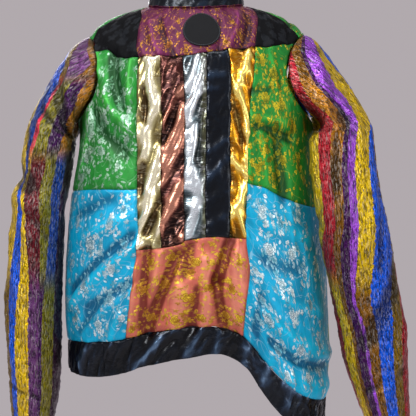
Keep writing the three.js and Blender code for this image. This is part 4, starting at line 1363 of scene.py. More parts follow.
def striped_lame(name, behind, front):
    """Creped metallic cloth in lengthwise stripes, with painted shade in its furrows, cracks and fold
    troughs and painted highlights in its sparks and glints.
    """
    material, tree = new_material(name)
    place = cloth_place(tree)
    colour = stripe_colours(tree, place, behind, front)
    lengthwise = stretched(tree, place, (1.5, 0.3, 1.0))
    crinkle = use_group(tree, "Crinkle", Place=lengthwise, Size=1.5)
    folds = use_group(tree, "Painted fold shade")
    dark = blend(tree, 1.0, colour, (0.05, 0.05, 0.07, 1.0), kind="MULTIPLY")
    streak = noise(tree, stretched(tree, place, (4.4, 0.6, 1.0)), 1.0, 3.0, 0.6)
    furrow = edge(tree, streak, 0.52, 0.42)
    # Painted shade in the crepe's furrows, in its cracks and in the troughs of the folds.
    for mask, share in ((furrow, 0.75), (crinkle["Crack"], 0.5), (folds["Painted shade"], 0.8)):
        colour = blend(tree, times(tree, mask, share), colour, dark)
    bright = blend(tree, 0.25, colour, (1.0, 0.98, 0.9, 1.0))
    sparkle_cells = put(tree, "ShaderNodeTexVoronoi", {"Vector": lengthwise, "Scale": 5.0}).outputs["Color"]
    spark = put(tree, "ShaderNodeSeparateColor", {"Color": sparkle_cells}).outputs["Red"]
    # Painted highlights on the sparks and the glints.
    for mask, share in ((edge(tree, spark, 0.8, 0.95), 0.45), (crinkle["Glint"], 0.3)):
        colour = blend(tree, times(tree, mask, share), colour, bright)
    height = plus(tree, crinkle["Height"], times(tree, streak, 0.9))
    cover(tree, colour, blend_value(tree, crinkle["Glint"], 0.4, 0.28), height, 1.8, metallic=0.8)
    return material


def black_jacquard():
    """Matt black cloth with faint rings and flowers of its own colour."""
    material, tree = new_material("Black jacquard")
    place = cloth_place(tree)
    motif = use_group(tree, "Woven flower", Place=cloth_place(tree, "motif"), Petals=6.0)
    small = use_group(tree, "Strewn flowers", **{"Place": place, "Per cm": 0.4, "Share": 0.8})
    weave = use_group(tree, "Weave", Place=place)
    rings = minus(tree, motif["Petal"], motif["Line"])
    mask = calc(tree, "MAXIMUM", rings, small["Petal"], clamp=True)
    colour = blend(tree, mask, shade(5, 6, 8), shade(21, 24, 28))
    colour = blend(tree, times(tree, weave["Tone"], 0.2), colour, shade(13, 15, 20))
    height = plus(tree, times(tree, weave["Height"], 0.3), mask)
    cover(tree, colour, blend_value(tree, mask, 0.62, 0.4), height, 0.3, specular=0.08)
    return material


def patch_cloth():
    """Black twill of the round patch, its diagonal ribs in the part's own measure, lighter on their tops
    and darker between them in painted shade.
    """
    material, tree = new_material("Patch twill")
    split = split_xyz(tree, put(tree, "ShaderNodeTexCoord").outputs["Object"])
    run = times(tree, plus(tree, split["X"], split["Z"]), TWILL_WAVE)
    rib = plus(tree, times(tree, calc(tree, "SINE", run), 0.5), 0.5)
    colour = blend(tree, rib, shade(6, 7, 9), shade(16, 18, 22))
    cover(tree, colour, 0.7, rib, 0.25, specular=0.2)
    return material


def plain_weave(name, low, high, roughness, metallic=0.0, scale=700.0):
    """Fine plain cloth, thread or metal with a slight uneven tone."""
    material, tree = new_material(name)
    place = put(tree, "ShaderNodeTexCoord").outputs["Object"]
    cloud = noise(tree, place, scale, 3.0)
    cover(tree, blend(tree, cloud, low, high), roughness, cloud, 0.1, metallic)
    return material


# Woven motifs. Columns: across from the centre back, up from the armpit, radius, in millimetres.
MOTIFS = {
    "green_left": [
        (203, 0, 26), (209, -39, 27), (218, -75, 19), (167, -32, 18), (144, 91, 14), (158, 51, 11),
        (117, 37, 14), (256, 41, 14), (232, 81, 13), (104, -17, 14), (117, -55, 16), (160, 10, 16),
        (103, 13, 11), (286, 2, 13), (295, -55, 14),
    ],
    "green_right": [
        (-157, 68, 21), (-131, 38, 19), (-167, 27, 18), (-139, 89, 14), (-196, 46, 14), (-112, 12, 13),
        (-151, 1, 14), (-194, 1, 14), (-126, -28, 16), (-166, -40, 16), (-106, -57, 14), (-207, -39, 13),
        (-139, -64, 13),
    ],
    "turquoise_left": [
        (169, -181, 27), (216, -144, 14), (124, -151, 16), (94, -184, 14), (115, -221, 16), (176, -245, 18),
        (122, -268, 18), (211, -296, 16), (146, -308, 18), (97, -300, 14), (97, -126, 13), (232, -209, 13),
        (95, -255, 11), (270, -170, 15), (290, -230, 17), (262, -270, 14), (300, -300, 15), (275, -120, 13),
    ],
    "turquoise_right": [
        (-110, -117, 16), (-144, -127, 16), (-191, -107, 14), (-121, -169, 19), (-167, -162, 18),
        (-95, -216, 14), (-144, -208, 19), (-200, -183, 14), (-115, -271, 21), (-164, -240, 16),
        (-212, -218, 13), (-135, -300, 16), (-182, -280, 18), (-239, -266, 14), (-205, -310, 16),
        (-153, -323, 14), (-248, -300, 13), (-104, -250, 13), (-260, -140, 15), (-285, -200, 16),
        (-300, -270, 15), (-240, -170, 13),
    ],
    "coral": [
        (50, -218, 13), (20, -214, 13), (-7, -224, 16), (-41, -214, 13), (-68, -216, 11), (61, -261, 14),
        (29, -258, 16), (0, -283, 16), (-23, -268, 14), (-56, -266, 14), (50, -310, 16), (16, -318, 14),
        (-13, -318, 14), (-47, -312, 14), (-68, -307, 13), (81, -322, 11), (-2, -241, 11),
    ],
    "plum": [
        (92, 135, 10), (43, 126, 11), (81, 162, 10), (36, 174, 8), (-70, 127, 11), (-110, 139, 11),
        (-162, 170, 10), (-108, 167, 10), (-34, 112, 8), (7, 116, 8), (-83, 200, 8), (31, 209, 8),
    ],
    "yoke": [
        (200, 142, 13), (259, 119, 11), (135, 119, 11), (-212, 151, 11), (-236, 128, 10), (-173, 129, 10),
    ],
}
# Flowers of the fronts: their spacing, jitter, radius and its spread, and where they lie.
MOTIF_STEP, MOTIF_JITTER, MOTIF_RADIUS, MOTIF_SPREAD = 46, 13, 15, 4
MOTIF_UP, MOTIF_ACROSS = (-310, 200), (350, 650)


def uneven(a, b, seed):
    return float(ripple(np.array(a + 0.5), np.array(b + 0.5), seed))


def front_motifs(side):
    """Flowers of the hidden fronts, spread as on the back, no two alike in size."""
    rows = []
    for i, up in enumerate(range(*MOTIF_UP, MOTIF_STEP)):
        for j, away in enumerate(range(*MOTIF_ACROSS, MOTIF_STEP)):
            shift = MOTIF_STEP / 2 * (i % 2)
            dx = MOTIF_JITTER * uneven(i * 1.7, j * 2.3, 4)
            dy = MOTIF_JITTER * uneven(i * 2.9, j * 1.1, 6)
            size = MOTIF_RADIUS + MOTIF_SPREAD * uneven(i, j, 8)
            rows.append((side * (away + shift + dx), up + dy, size))
    return rows


# Stripes of the sleeves over the back: where each ends, as a share from the outside to the inside.
# Columns: height in millimetres, then the end of every stripe.
STRIPES_LEFT = [
    (-640, 0.12, 0.23, 0.49, 0.66, 0.72, 0.91),
    (-540, 0.12, 0.23, 0.49, 0.68, 0.72, 0.91),
    (-446, 0.13, 0.33, 0.51, 0.70, 0.78, 0.93),
    (-345, 0.20, 0.30, 0.36, 0.63, 0.81, 0.94),
    (-251, 0.17, 0.21, 0.28, 0.57, 0.77, 0.95),
    (-203, 0.15, 0.29, 0.37, 0.60, 0.85, 0.99),
    (-170, 0.10, 0.29, 0.33, 0.56, 0.79, 0.99),
    (-138, 0.06, 0.28, 0.31, 0.50, 0.70, 0.97),
    (-113, 0.04, 0.29, 0.38, 0.58, 0.80, 0.98),
    (-89, 0.03, 0.24, 0.38, 0.78, 0.96, 0.99),
    (-65, 0.02, 0.14, 0.30, 0.70, 0.97, 0.99),
]
STRIPES_RIGHT = [
    (-640, 0.10, 0.24, 0.45, 0.60, 0.63, 0.76, 0.82, 0.94),
    (-540, 0.08, 0.21, 0.43, 0.60, 0.62, 0.75, 0.79, 0.93),
    (-478, 0.03, 0.15, 0.44, 0.66, 0.69, 0.79, 0.85, 0.95),
    (-402, 0.01, 0.02, 0.27, 0.51, 0.60, 0.73, 0.82, 0.97),
    (-329, 0.01, 0.02, 0.17, 0.41, 0.51, 0.59, 0.72, 0.88),
    (-248, 0.01, 0.02, 0.11, 0.33, 0.43, 0.51, 0.69, 0.86),
    (-186, 0.01, 0.02, 0.04, 0.24, 0.38, 0.43, 0.65, 0.86),
    (-154, 0.01, 0.02, 0.03, 0.21, 0.38, 0.44, 0.71, 0.90),
    (-122, 0.01, 0.02, 0.05, 0.27, 0.50, 0.55, 0.76, 0.96),
    (-89, 0.01, 0.02, 0.10, 0.28, 0.55, 0.62, 0.80, 0.98),
    (-65, 0.01, 0.02, 0.17, 0.28, 0.60, 0.69, 0.95, 0.99),
]
GOLD, DEEP_GOLD, ORANGE = shade(214, 180, 0), shade(120, 92, 0), shade(170, 110, 0)
BLUE, NIGHT_BLUE, OLIVE = shade(0, 88, 220), shade(8, 58, 140), shade(118, 112, 10)
RED, PINK, BURGUNDY, BROWN = shade(160, 14, 34), shade(212, 44, 72), shade(92, 14, 26), shade(122, 80, 0)
PURPLE, LILAC, MAUVE, PLUM = shade(60, 10, 76), shade(150, 72, 200), shade(96, 50, 104), shade(48, 8, 44)
# The stripes' colours from the outside in, at the shoulder and further down, then over the front.
LEFT_COLOURS = (
    [GOLD, BLUE, DEEP_GOLD, MAUVE, BROWN, BURGUNDY, BROWN],
    [GOLD, NIGHT_BLUE, PINK, OLIVE, PURPLE, ORANGE, PURPLE],
    [GOLD, BLUE, GOLD, BURGUNDY, OLIVE, NIGHT_BLUE, PLUM],
    [DEEP_GOLD, BLUE, GOLD, MAUVE, PURPLE, OLIVE, PLUM],
)
LEFT_FRONT = [BURGUNDY, GOLD, BLUE, LILAC, OLIVE, RED, PURPLE]
# On the right sleeve the brown stripe between purple and red stands for the gold stripe in a fold's valley:
# painted shade.
RIGHT_COLOURS = (
    [RED, DEEP_GOLD, BLUE, GOLD, LILAC, PURPLE, BROWN, RED, GOLD],
    [RED, DEEP_GOLD, BLUE, GOLD, LILAC, PURPLE, ORANGE, RED, GOLD],
    [RED, DEEP_GOLD, BLUE, GOLD, LILAC, PURPLE, BROWN, RED, GOLD],
    [RED, DEEP_GOLD, BLUE, BROWN, LILAC, PURPLE, BROWN, GOLD, RED],
)
RIGHT_FRONT = [PLUM, GOLD, BLUE, OLIVE, RED, PURPLE, BROWN, BLUE, GOLD]
# How far below the neck the colours change, in metres.
COLOUR_CHANGES = ((0.10, 0.13), (0.22, 0.26), (0.42, 0.48))
# Height of the slices in which a sleeve's reach is measured, in millimetres.
REACH_STEP = 10


def share_across(points, side):
    """How far each point lies from the sleeve's outer side to its inner side, at its own height."""
    x, z = side * points[..., 0], points[..., 2]
    heights = np.arange(z.min(), z.max() + REACH_STEP, REACH_STEP)
    near = [np.abs(z - h) <= REACH_STEP for h in heights]
    outer = np.interp(z, heights, [x[n].max() for n in near])
    inner = np.interp(z, heights, [x[n].min() for n in near])
    return np.clip((outer - x) / np.maximum(outer - inner, 1), 0, 1)


def stripe_map(table, points, turn, side):
    """Counts the stripes round the sleeve: over the back from the outside in, over the front back out."""
    count = len(table[0])
    height = points[..., 2]
    share = share_across(points, side)
    ends = [curve(table, k)(height) for k in range(1, count)]
    bounds = [np.zeros_like(share), *ends, np.ones_like(share)]
    place = np.zeros_like(share)
    for k in range(count):
        low, high = bounds[k], bounds[k + 1]
        inside = (share >= low) & (share <= high)
        place = np.where(inside, k + (share - low) / np.maximum(high - low, 1e-6), place)
    place = np.where(turn > 180, 2 * count - share * count, place)
    return np.stack([place, -height * MM], -1)


# Crumple of each cloth: size, stretch, slant, height in millimetres, seed.
CRUMPLE = {
    "brocade": (24, 2.0, 15, 1.2, 3),
    "plum": (14, 3.5, 0, 2.0, 4),
    "champagne": (18, 3.2, -16, 5.0, 11),
    "copper": (15, 3.4, -22, 4.6, 12),
    "silver": (15, 3.6, -12, 4.4, 13),
    "black": (16, 3.0, -14, 2.4, 14),
    "gold": (12, 3.8, 12, 4.6, 15),
    "wet": (10, 3.4, -32, 2.8, 16),
    "sleeve": (8, 1.8, -35, 2.4, 17),
    "jacquard": (22, 2.0, 40, 0.8, 18),
}
# How much deeper than the body under it a shining cloth folds, as a share; below 0 it folds less.
FOLD_GAIN = {"champagne": 0.4, "copper": 0.4, "silver": 0.4, "black": -0.5, "gold": 0.4}
# The strips' grid cell, as a share of the rest of the back's.
STRIP_CELL = 0.9
# Points each way in the coarse grid that measures a panel and a length of the band.
PANEL_SAMPLES, BAND_SAMPLES = 13, 25


def patch_size(patch, samples):
    """A patch's width and length over the smooth body, in millimetres."""
    rough = np.linspace(0, 1, samples)
    sample = body_form(*patch(*np.meshgrid(rough, rough, indexing="ij")))
    return run_length(sample, 0)[-1].mean(), run_length(sample, 1)[:, -1].mean()


def crumple_relief(kind, across, up):
    size, stretch, slant, height, seed = CRUMPLE[kind]
    return height * (crumple(across, up, size, stretch, slant, seed) - 0.5)


def panel(name, node, patch, kind, material, cell, motifs=()):
    """A panel of the body, between its seams."""
    wide, long = patch_size(patch, PANEL_SAMPLES)
    gap_u, gap_v = SEAM_HALF_GAP / wide, SEAM_HALF_GAP / long
    u = mix(gap_u, 1 - gap_u, steps_along(wide, cell))
    v = mix(gap_v, 1 - gap_v, steps_along(long, cell))
    deg, level = np.broadcast_arrays(*patch(*np.meshgrid(u, v, indexing="ij")))
    across, up = unrolled(deg, level)
    points = body(deg, level)
    calm = patch_calm(deg, level)
    folds = fold(BODY_FOLDS, across, up) * calm
    fine = crumple_relief(kind, across, up) * calm + FOLD_GAIN.get(kind, 0) * folds
    seams = seam_relief(points, seed=len(name))
    uv = np.stack([across, up], -1) / CM
    # The height sets the tone of the colour: painted shade in the troughs of the folds and at the seams,
    # painted light on the ridges.
    height = folds + fine + 0.6 * seams
    piece = lay_cloth(name, points, uv, fine + seams * calm, height, material, motifs=motifs)
    declare_cloth(piece, node)


# The way round and down that sets a sleeve's and a cuff's grid, and cloth millimetres in a degree.
SLEEVE_ROUND, SLEEVE_DOWN, SLEEVE_CLOTH_PER_DEG = 290, 560, 0.8
CUFF_ROUND, CUFF_CLOTH_PER_DEG = 230, 0.65
# Gathers of a cuff: their height in millimetres and their number all round.
CUFF_GATHER_HEIGHT, CUFF_GATHERS = 0.9, 26
# Degrees on each side of the join in which the crumple of a sleeve's two ends is mixed.
JOIN_DEG = 30
# The share of a sleeve's length in which its crumple fades at each end, and what is left there.
CRUMPLE_CALM, CRUMPLE_LEAST = 0.05, 0.15


def turns_round(length, cell, side):
    """Degrees all round a tube, in the order that lays its columns to the right."""
    turn = np.linspace(0, 360, int(length / cell) + 1)
    return turn if side > 0 else turn[::-1]


def sleeve_crumple(turn, around, along, f):
    """Fine crumple that meets itself where the sleeve's first and last columns join."""
    whole_turn = 360 * SLEEVE_CLOTH_PER_DEG
    near_join = np.clip((JOIN_DEG - np.minimum(turn, 360 - turn)) / JOIN_DEG, 0, 1)
    fine = mix(
        crumple_relief("sleeve", around, along),
        crumple_relief("sleeve", around - whole_turn * np.sign(turn - 180), along),
        0.5 * near_join,
    )
    return fine * np.clip(np.minimum(f, 1 - f) / CRUMPLE_CALM, CRUMPLE_LEAST, 1)


def sleeve(name, node, side, rows, folds, table, material, cell):
    """A sleeve: a tube from the armhole to the cuff."""
    turn, f = np.meshgrid(
        turns_round(SLEEVE_ROUND, cell, side), 1 - steps_along(SLEEVE_DOWN, cell), indexing="ij",
    )
    points = sleeve_surface(rows, folds, side, turn, f)
    along = np.broadcast_to(run_length(points, 1).mean(axis=0)[None, :], f.shape)
    around = turn * SLEEVE_CLOTH_PER_DEG
    fine = sleeve_crumple(turn, around, along, f)
    away = np.minimum(along, along.max() - along)
    relief = fine - SEAM_DEPTH * np.exp(-((away / SEAM_WIDTH) ** 2))
    piece = lay_cloth(
        name, points, np.stack([around, along], -1) / CM, relief, sleeve_fold(folds, turn, f) + relief,
        material, stripes=stripe_map(table, points, turn, side), closed=True,
    )
    declare_cloth(piece, node)


def cuff(name, node, side, rows, folds, material, cell):
    """A cuff: a gathered tube below its sleeve."""
    down = np.linspace(1, 0, int(CUFF_LONG / cell) + 2)
    turn, f = np.meshgrid(turns_round(CUFF_ROUND, cell, side), down, indexing="ij")
    points = cuff_surface(rows, folds, side, turn, f)
    depth = CUFF_GATHER_HEIGHT * (0.4 + 0.6 * np.abs(ripple(turn / 25, f * 2, 7)))
    gathers = depth * np.sin(np.radians(turn * CUFF_GATHERS))
    fine = gathers + 0.4 * ripple(turn / 9, f * 5, 8)
    uv = np.stack([turn * CUFF_CLOTH_PER_DEG, -f * CUFF_LONG], -1) / CM
    piece = lay_cloth(name, points, uv, fine, 1.6 * fine, material, closed=True)
    declare_cloth(piece, node)


# Gathers of the band in millimetres: height, pitch, length and the height on the cloth of its middle.
GATHER_HEIGHT, GATHER_PITCH, GATHER_LONG, BAND_MIDDLE = 0.8, 6.5, 60, -360
GATHER_SLANT = 0.35


def hem_band(name, node, start, end, cell, material):
    """A length of the hem band, gathered a little."""
    patch = band_patch(start, end)
    wide, _ = patch_size(patch, BAND_SAMPLES)
    u, v = np.meshgrid(steps_along(wide, cell), steps_along(BAND_LONG, cell), indexing="ij")
    deg, level = np.broadcast_arrays(*patch(u, v))
    across, up = unrolled(deg, level)
    points = body(deg, level)
    slanting = (across + GATHER_SLANT * (up - BAND_MIDDLE)) / GATHER_PITCH
    gathers = GATHER_HEIGHT * ripple(slanting, up / GATHER_LONG, 21)
    fine = crumple_relief("wet", across, up) + gathers
    seams = seam_relief(points, seed=31, sides="lru")
    uv = np.stack([across, up], -1) / CM
    height = fold(BODY_FOLDS, across, up) + 1.4 * fine
    piece = lay_cloth(name, points, uv, fine + seams, height, material, BAND_WALL)
    declare_cloth(piece, node)


# The way round that sets the collar's grid, and its cloth millimetres in a degree.
COLLAR_ROUND, COLLAR_MM_PER_DEG = 430, 1.2
# The collar's small upright crumples: height, pitch and length in millimetres.
COLLAR_CRUMPLE, COLLAR_PITCH, COLLAR_LONG = 0.7, 7, 60


def collar(cell, material):
    """The standing collar, more crumpled at its edges than in its middle."""
    u = np.linspace(COLLAR_OPEN, -COLLAR_OPEN, int(COLLAR_ROUND / cell))
    v = np.linspace(0, 1, int(COLLAR_HEIGHT / cell) + 3)
    deg, up = np.meshgrid(u, v, indexing="ij")
    points = collar_form(deg, up)
    across, high = deg * COLLAR_MM_PER_DEG, up * COLLAR_HEIGHT
    near_edge = 0.3 + 0.7 * np.abs(up - 0.5) * 2
    fine = 0.8 * crumple_relief("wet", across, high)
    fine += COLLAR_CRUMPLE * ripple(across / COLLAR_PITCH, high / COLLAR_LONG, 41) * near_edge
    uv = np.stack([across, high], -1) / CM
    piece = lay_cloth("standing_collar", points, uv, fine, 1.5 * fine, material, BAND_WALL)
    declare_cloth(piece, "collar")


# Sewing and zip, in millimetres.
STITCH = (2.2, 0.55, 0.4)
STITCH_PITCH, ZIP_STITCH_PITCH = 3.0, 3.9
PATCH_TOP, PATCH_STITCH_INSET = 2.6, 1.6
ZIP_STITCH_INSET, ZIP_STITCH_LIFT = 6, 0.1
TOOTH = (1.1, 3.6, 2.0)
TOOTH_PITCH, TOOTH_SINK, TOOTH_OFF = 1.7, 1.5, 0.9
# The levels between which the zip's edges are sewn.
ZIP_STITCH_LOW, ZIP_STITCH_TOP = 0.01, 1.95


def add_block(bm, sizes, place):
    """Adds a small rounded block on a frame, its sizes in millimetres."""
    corners = bmesh.ops.create_cube(bm, size=1.0)["verts"]
    bmesh.ops.scale(bm, verts=corners, vec=Vector(sizes) * MM)
    edges = list({edge for corner in corners for edge in corner.link_edges})
    made = bmesh.ops.bevel(
        bm, geom=edges, offset=min(sizes) * 0.3 * MM, offset_type="OFFSET", affect="EDGES",
        segments=1, profile=0.5, material=-1,
    )["verts"]
    faces = {face for corner in made for face in corner.link_faces}
    whole = list({corner for face in faces for corner in face.verts})
    bmesh.ops.transform(bm, matrix=place, verts=whole)


def scattered(name, frames, sizes, material):
    """Copies of a small rounded block on the frames given, as one mesh."""
    bm = bmesh.new()
    for place in frames:
        add_block(bm, sizes, place)
    bmesh.ops.recalc_face_normals(bm, faces=bm.faces)
    mesh = mesh_from(bm, name)
    mesh.shade_smooth()
    mesh.materials.append(material)
    piece = place_in_scene(name, mesh)
    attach(piece, ROOT)
    return piece


def frame_at(point, along, out):
    """A frame with x along a seam and z out of the cloth, its place in millimetres."""
    along = unit(along)
    out = unit(out - along * out.dot(along))
    side = np.cross(out, along)
    rows = [(along[k], side[k], out[k], point[k] * MM) for k in range(3)]
    return Matrix((*rows, (0, 0, 0, 1)))


def frames_along(line, out, pitch, lift):
    """Frames at an even pitch along a line of points with their ways out."""
    run = run_length(line, 0)
    count = int(run[-1] / pitch)

    def on(rows, at):
        return np.array([np.interp(np.clip(at, 0, run[-1]), run, rows[:, k]) for k in range(3)])

    frames = []
    for i in range(count):
        at = (i + 0.5) * run[-1] / count
        way = on(out, at)
        frames.append(frame_at(on(line, at) + way * lift, on(line, at + 1) - on(line, at - 1), way))
    return frames


def show_as(node, material):
    """A node of the part keeps its own shape and takes a material."""
    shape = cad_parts[node]
    if shape.data.materials:
        shape.material_slots[0].material = material
    else:
        shape.data.materials.append(material)


class JacketSettings(bpy.types.PropertyGroup):
    """Grid sizes and colours that a user may change"""

    back_cell: FloatProperty(
        name="Back cell", description="Grid size of the back's cloth, in millimetres",
        default=2.5, min=1.5, max=12,
    )
    front_cell: FloatProperty(
        name="Front cell", description="Grid size of the fronts' cloth, in millimetres",
        default=4.0, min=2, max=12,
    )
    sleeve_cell: FloatProperty(
        name="Sleeve cell", description="Grid size of the sleeves' cloth, in millimetres",
        default=3.0, min=2, max=12,
    )
    turquoise: FloatVectorProperty(
        name="Turquoise", description="Ground of the turquoise brocade", subtype="COLOR", size=4,
        default=shade(0, 150, 192), min=0, max=1,
    )
    green: FloatVectorProperty(
        name="Green", description="Ground of the green brocades", subtype="COLOR", size=4,
        default=shade(18, 120, 42), min=0, max=1,
    )
    plum: FloatVectorProperty(
        name="Plum", description="Ground of the plum brocade", subtype="COLOR", size=4,
        default=shade(78, 12, 48), min=0, max=1,
    )
    coral: FloatVectorProperty(
        name="Coral", description="Ground of the coral brocade", subtype="COLOR", size=4,
        default=shade(184, 88, 72), min=0, max=1,
    )
    backdrop: FloatVectorProperty(
        name="Backdrop", description="Pale colour round the jacket", subtype="COLOR", size=4,
        default=(0.44, 0.40, 0.42, 1.0), min=0, max=1,
    )
    key_power: FloatProperty(
        name="Key light", description="Power of the main soft light, in watts",
        default=48.0, min=0,
    )


def settings():
    return bpy.context.scene.jacket_settings


def brocade_of(name, ground, **choices):
    """A brocade made once and shared by the pieces that are cut from it."""
    return bpy.data.materials.get(name) or brocade(name, tuple(ground), **choices)


def green_silver():
    return brocade_of(
        "Green brocade with silver", settings().green, deep=shade(4, 44, 18), bright=shade(64, 170, 60),
        thread=shade(176, 204, 188), thread_dark=shade(84, 140, 100), line_colour=shade(10, 80, 34),
        per_cm=0.68, share=0.35, petals=7.0,
    )


def green_gold():
    return brocade_of(
        "Green brocade with gold", settings().green, deep=shade(4, 46, 16), bright=shade(50, 170, 60),
        thread=shade(206, 184, 40), thread_dark=shade(104, 110, 24), line_colour=shade(10, 66, 20),
        per_cm=0.68, share=0.35, petals=6.0,
    )


def turquoise_silver():
    return brocade_of(
        "Turquoise brocade", settings().turquoise, deep=shade(0, 74, 112), bright=shade(0, 190, 228),
        thread=shade(214, 230, 230), thread_dark=shade(90, 166, 186), line_colour=shade(0, 78, 110),
        per_cm=0.68, share=0.3, petals=7.0,
    )


def plum_gold():
    return brocade_of(
        "Plum brocade", settings().plum, deep=shade(34, 6, 22), bright=shade(128, 44, 100),
        thread=shade(206, 150, 50), thread_dark=shade(120, 66, 30), line_colour=shade(60, 14, 30),
        per_cm=1.0, share=0.45, petals=5.0, big=1.0,
    )


def coral_gold():
    return brocade_of(
        "Coral brocade", settings().coral, deep=shade(92, 26, 20), bright=shade(226, 144, 122),
        thread=shade(216, 184, 50), thread_dark=shade(160, 110, 36), line_colour=shade(120, 34, 24),
        per_cm=0.72, share=0.3, petals=6.0, big=1.0,
    )


# The stops of the shining cloths run from painted shade in the troughs of the folds to painted light on
# their ridges.
def wet_black():
    stops = [
        (0.3, shade(5, 8, 13)), (0.6, shade(11, 18, 28)), (0.82, shade(34, 50, 70)),
        (1.0, shade(86, 112, 140)),
    ]
    return bpy.data.materials.get("Black wet-look cloth") or lame(
        "Black wet-look cloth", stops, roughness=0.26, crinkle_size=0.6,
        glint_colour=shade(40, 56, 72), metallic=0.6, glint=0.1,
    )


def champagne():
    stops = [
        (0.18, shade(66, 50, 24)), (0.42, shade(130, 116, 70)), (0.6, shade(186, 176, 126)),
        (0.82, shade(244, 238, 206)),
    ]
    return lame(
        "Champagne cloth", stops, roughness=0.29, crinkle_size=0.5, glint_colour=shade(236, 228, 190),
    )


def copper():
    stops = [
        (0.28, shade(26, 10, 10)), (0.54, shade(44, 18, 16)), (0.72, shade(84, 42, 34)),
        (0.96, shade(190, 130, 108)),
    ]
    return lame(
        "Copper cloth", stops, roughness=0.3, crinkle_size=0.6, glint_colour=shade(200, 140, 120),
        # Painted shade: darker towards the top.
        painted_shade_drifts=[("Y", 0.0, 9.0, shade(50, 20, 18), 0.6)],
    )


def silver():
    stops = [
        (0.28, shade(40, 48, 50)), (0.54, shade(60, 72, 78)), (0.72, shade(104, 120, 126)),
        (0.94, shade(216, 226, 232)),
    ]
    return lame(
        "Silver cloth", stops, roughness=0.29, crinkle_size=0.6, glint_colour=shade(240, 246, 250),
        # Painted shade: darker and olive towards the wearer's right.
        painted_shade_drifts=[("X", -1.2, -1.9, shade(88, 88, 60), 0.7)],
    )


def amber():
    stops = [
        (0.18, shade(80, 56, 12)), (0.44, shade(150, 92, 0)), (0.62, shade(208, 146, 10)),
        (0.84, shade(250, 222, 120)),
    ]
    return lame(
        "Amber cloth", stops, roughness=0.29, crinkle_size=0.5, glint_colour=shade(246, 210, 104),
        # Painted shade: darker brown towards the bottom.
        painted_shade_drifts=[("Y", -13.0, -19.0, shade(110, 78, 20), 0.5)],
    )


class JACKET_OT_groups(bpy.types.Operator):
    """Make the node groups that the cloths share"""

    bl_idname = "jacket.groups"
    bl_label = "Shared node groups"

    def execute(self, context):
        make_flower_group()
        make_scatter_group()
        make_weave_group()
        make_crinkle_group()
        make_shadow_group()
        return {"FINISHED"}


class JACKET_OT_upper_back(bpy.types.Operator):
    """Lay the plum centre yoke and the two black shoulder yokes"""

    bl_idname = "jacket.upper_back"
    bl_label = "Back yokes"

    def execute(self, context):
        cell = settings().back_cell
        middle = seamed_patch(SEAM_LEFT, SEAM_RIGHT, PLUM_LOW, neck_line)
        left = yoke_patch(1, SEAM_LEFT, YOKE_LOW_LEFT, YOKE_TURN_LEFT)
        right = yoke_patch(-1, SEAM_RIGHT, YOKE_LOW_RIGHT, YOKE_TURN_RIGHT)
        black = black_jacquard()
        panel("centre_yoke", "back_yoke_plum", middle, "plum", plum_gold(), cell, MOTIFS["plum"])
        panel("shoulder_yoke_left", "back_yoke_left", left, "jacquard", black, cell, MOTIFS["yoke"])
        panel("shoulder_yoke_right", "back_yoke_right", right, "jacquard", black, cell, MOTIFS["yoke"])
        return {"FINISHED"}


class JACKET_OT_strips(bpy.types.Operator):
    """Lay the five shining strips down the middle of the back"""

    bl_idname = "jacket.strips"
    bl_label = "Back strips"

    def execute(self, context):
        cell = settings().back_cell * STRIP_CELL
        rows = [
            ("champagne_strip", "back_strip_champagne", "champagne", champagne()),
            ("copper_strip", "back_strip_copper", "copper", copper()),
            ("silver_strip", "back_strip_silver", "silver", silver()),
            ("black_strip", "back_strip_black", "black", wet_black()),
            ("amber_strip", "back_strip_gold", "gold", amber()),
        ]
        for i, (name, node, kind, material) in enumerate(rows):
            patch = seamed_patch(STRIP_SEAMS[i], STRIP_SEAMS[i + 1], CORAL_TOP, PLUM_LOW)
            panel(name, node, patch, kind, material, cell)
        return {"FINISHED"}


class JACKET_OT_lower_back(bpy.types.Operator):
    """Lay the coral middle, the green chest sides and the turquoise lower sides"""

    bl_idname = "jacket.lower_back"
    bl_label = "Back sides and lower middle"

    def execute(self, context):
        cell = settings().back_cell
        low = level_line(0)
        rows = [
            ("lower_middle", "back_panel_coral", coral_gold, "coral",
             seamed_patch(SEAM_LEFT, SEAM_RIGHT, low, CORAL_TOP)),
            ("green_side_left", "back_side_green_left", green_silver, "green_left",
             green_patch(1, SEAM_LEFT, YOKE_LOW_LEFT, YOKE_TURN_LEFT)),
            ("green_side_right", "back_side_green_right", green_gold, "green_right",
             green_patch(-1, SEAM_RIGHT, YOKE_LOW_RIGHT, YOKE_TURN_RIGHT)),
            ("turquoise_side_left", "back_side_turquoise_left", turquoise_silver, "turquoise_left",
             seamed_patch(fixed(90), SEAM_LEFT, low, GREEN_LOW)),
            ("turquoise_side_right", "back_side_turquoise_right", turquoise_silver, "turquoise_right",
             seamed_patch(SEAM_RIGHT, fixed(-90), low, GREEN_LOW)),
        ]
        for name, node, material, motifs, patch in rows:
            panel(name, node, patch, "brocade", material(), cell, MOTIFS[motifs])
        return {"FINISHED"}


class JACKET_OT_fronts(bpy.types.Operator):
    """Lay the two fronts, one piece each side"""

    bl_idname = "jacket.fronts"
    bl_label = "Fronts"

    def execute(self, context):
        cell = settings().front_cell
        rows = (
            (1, "cloth_front_left", "front_left", green_silver()),
            (-1, "cloth_front_right", "front_right", green_gold()),
        )
        for side, name, node, material in rows:
            panel(name, node, front_patch(side), "brocade", material, cell, front_motifs(side))
        return {"FINISHED"}


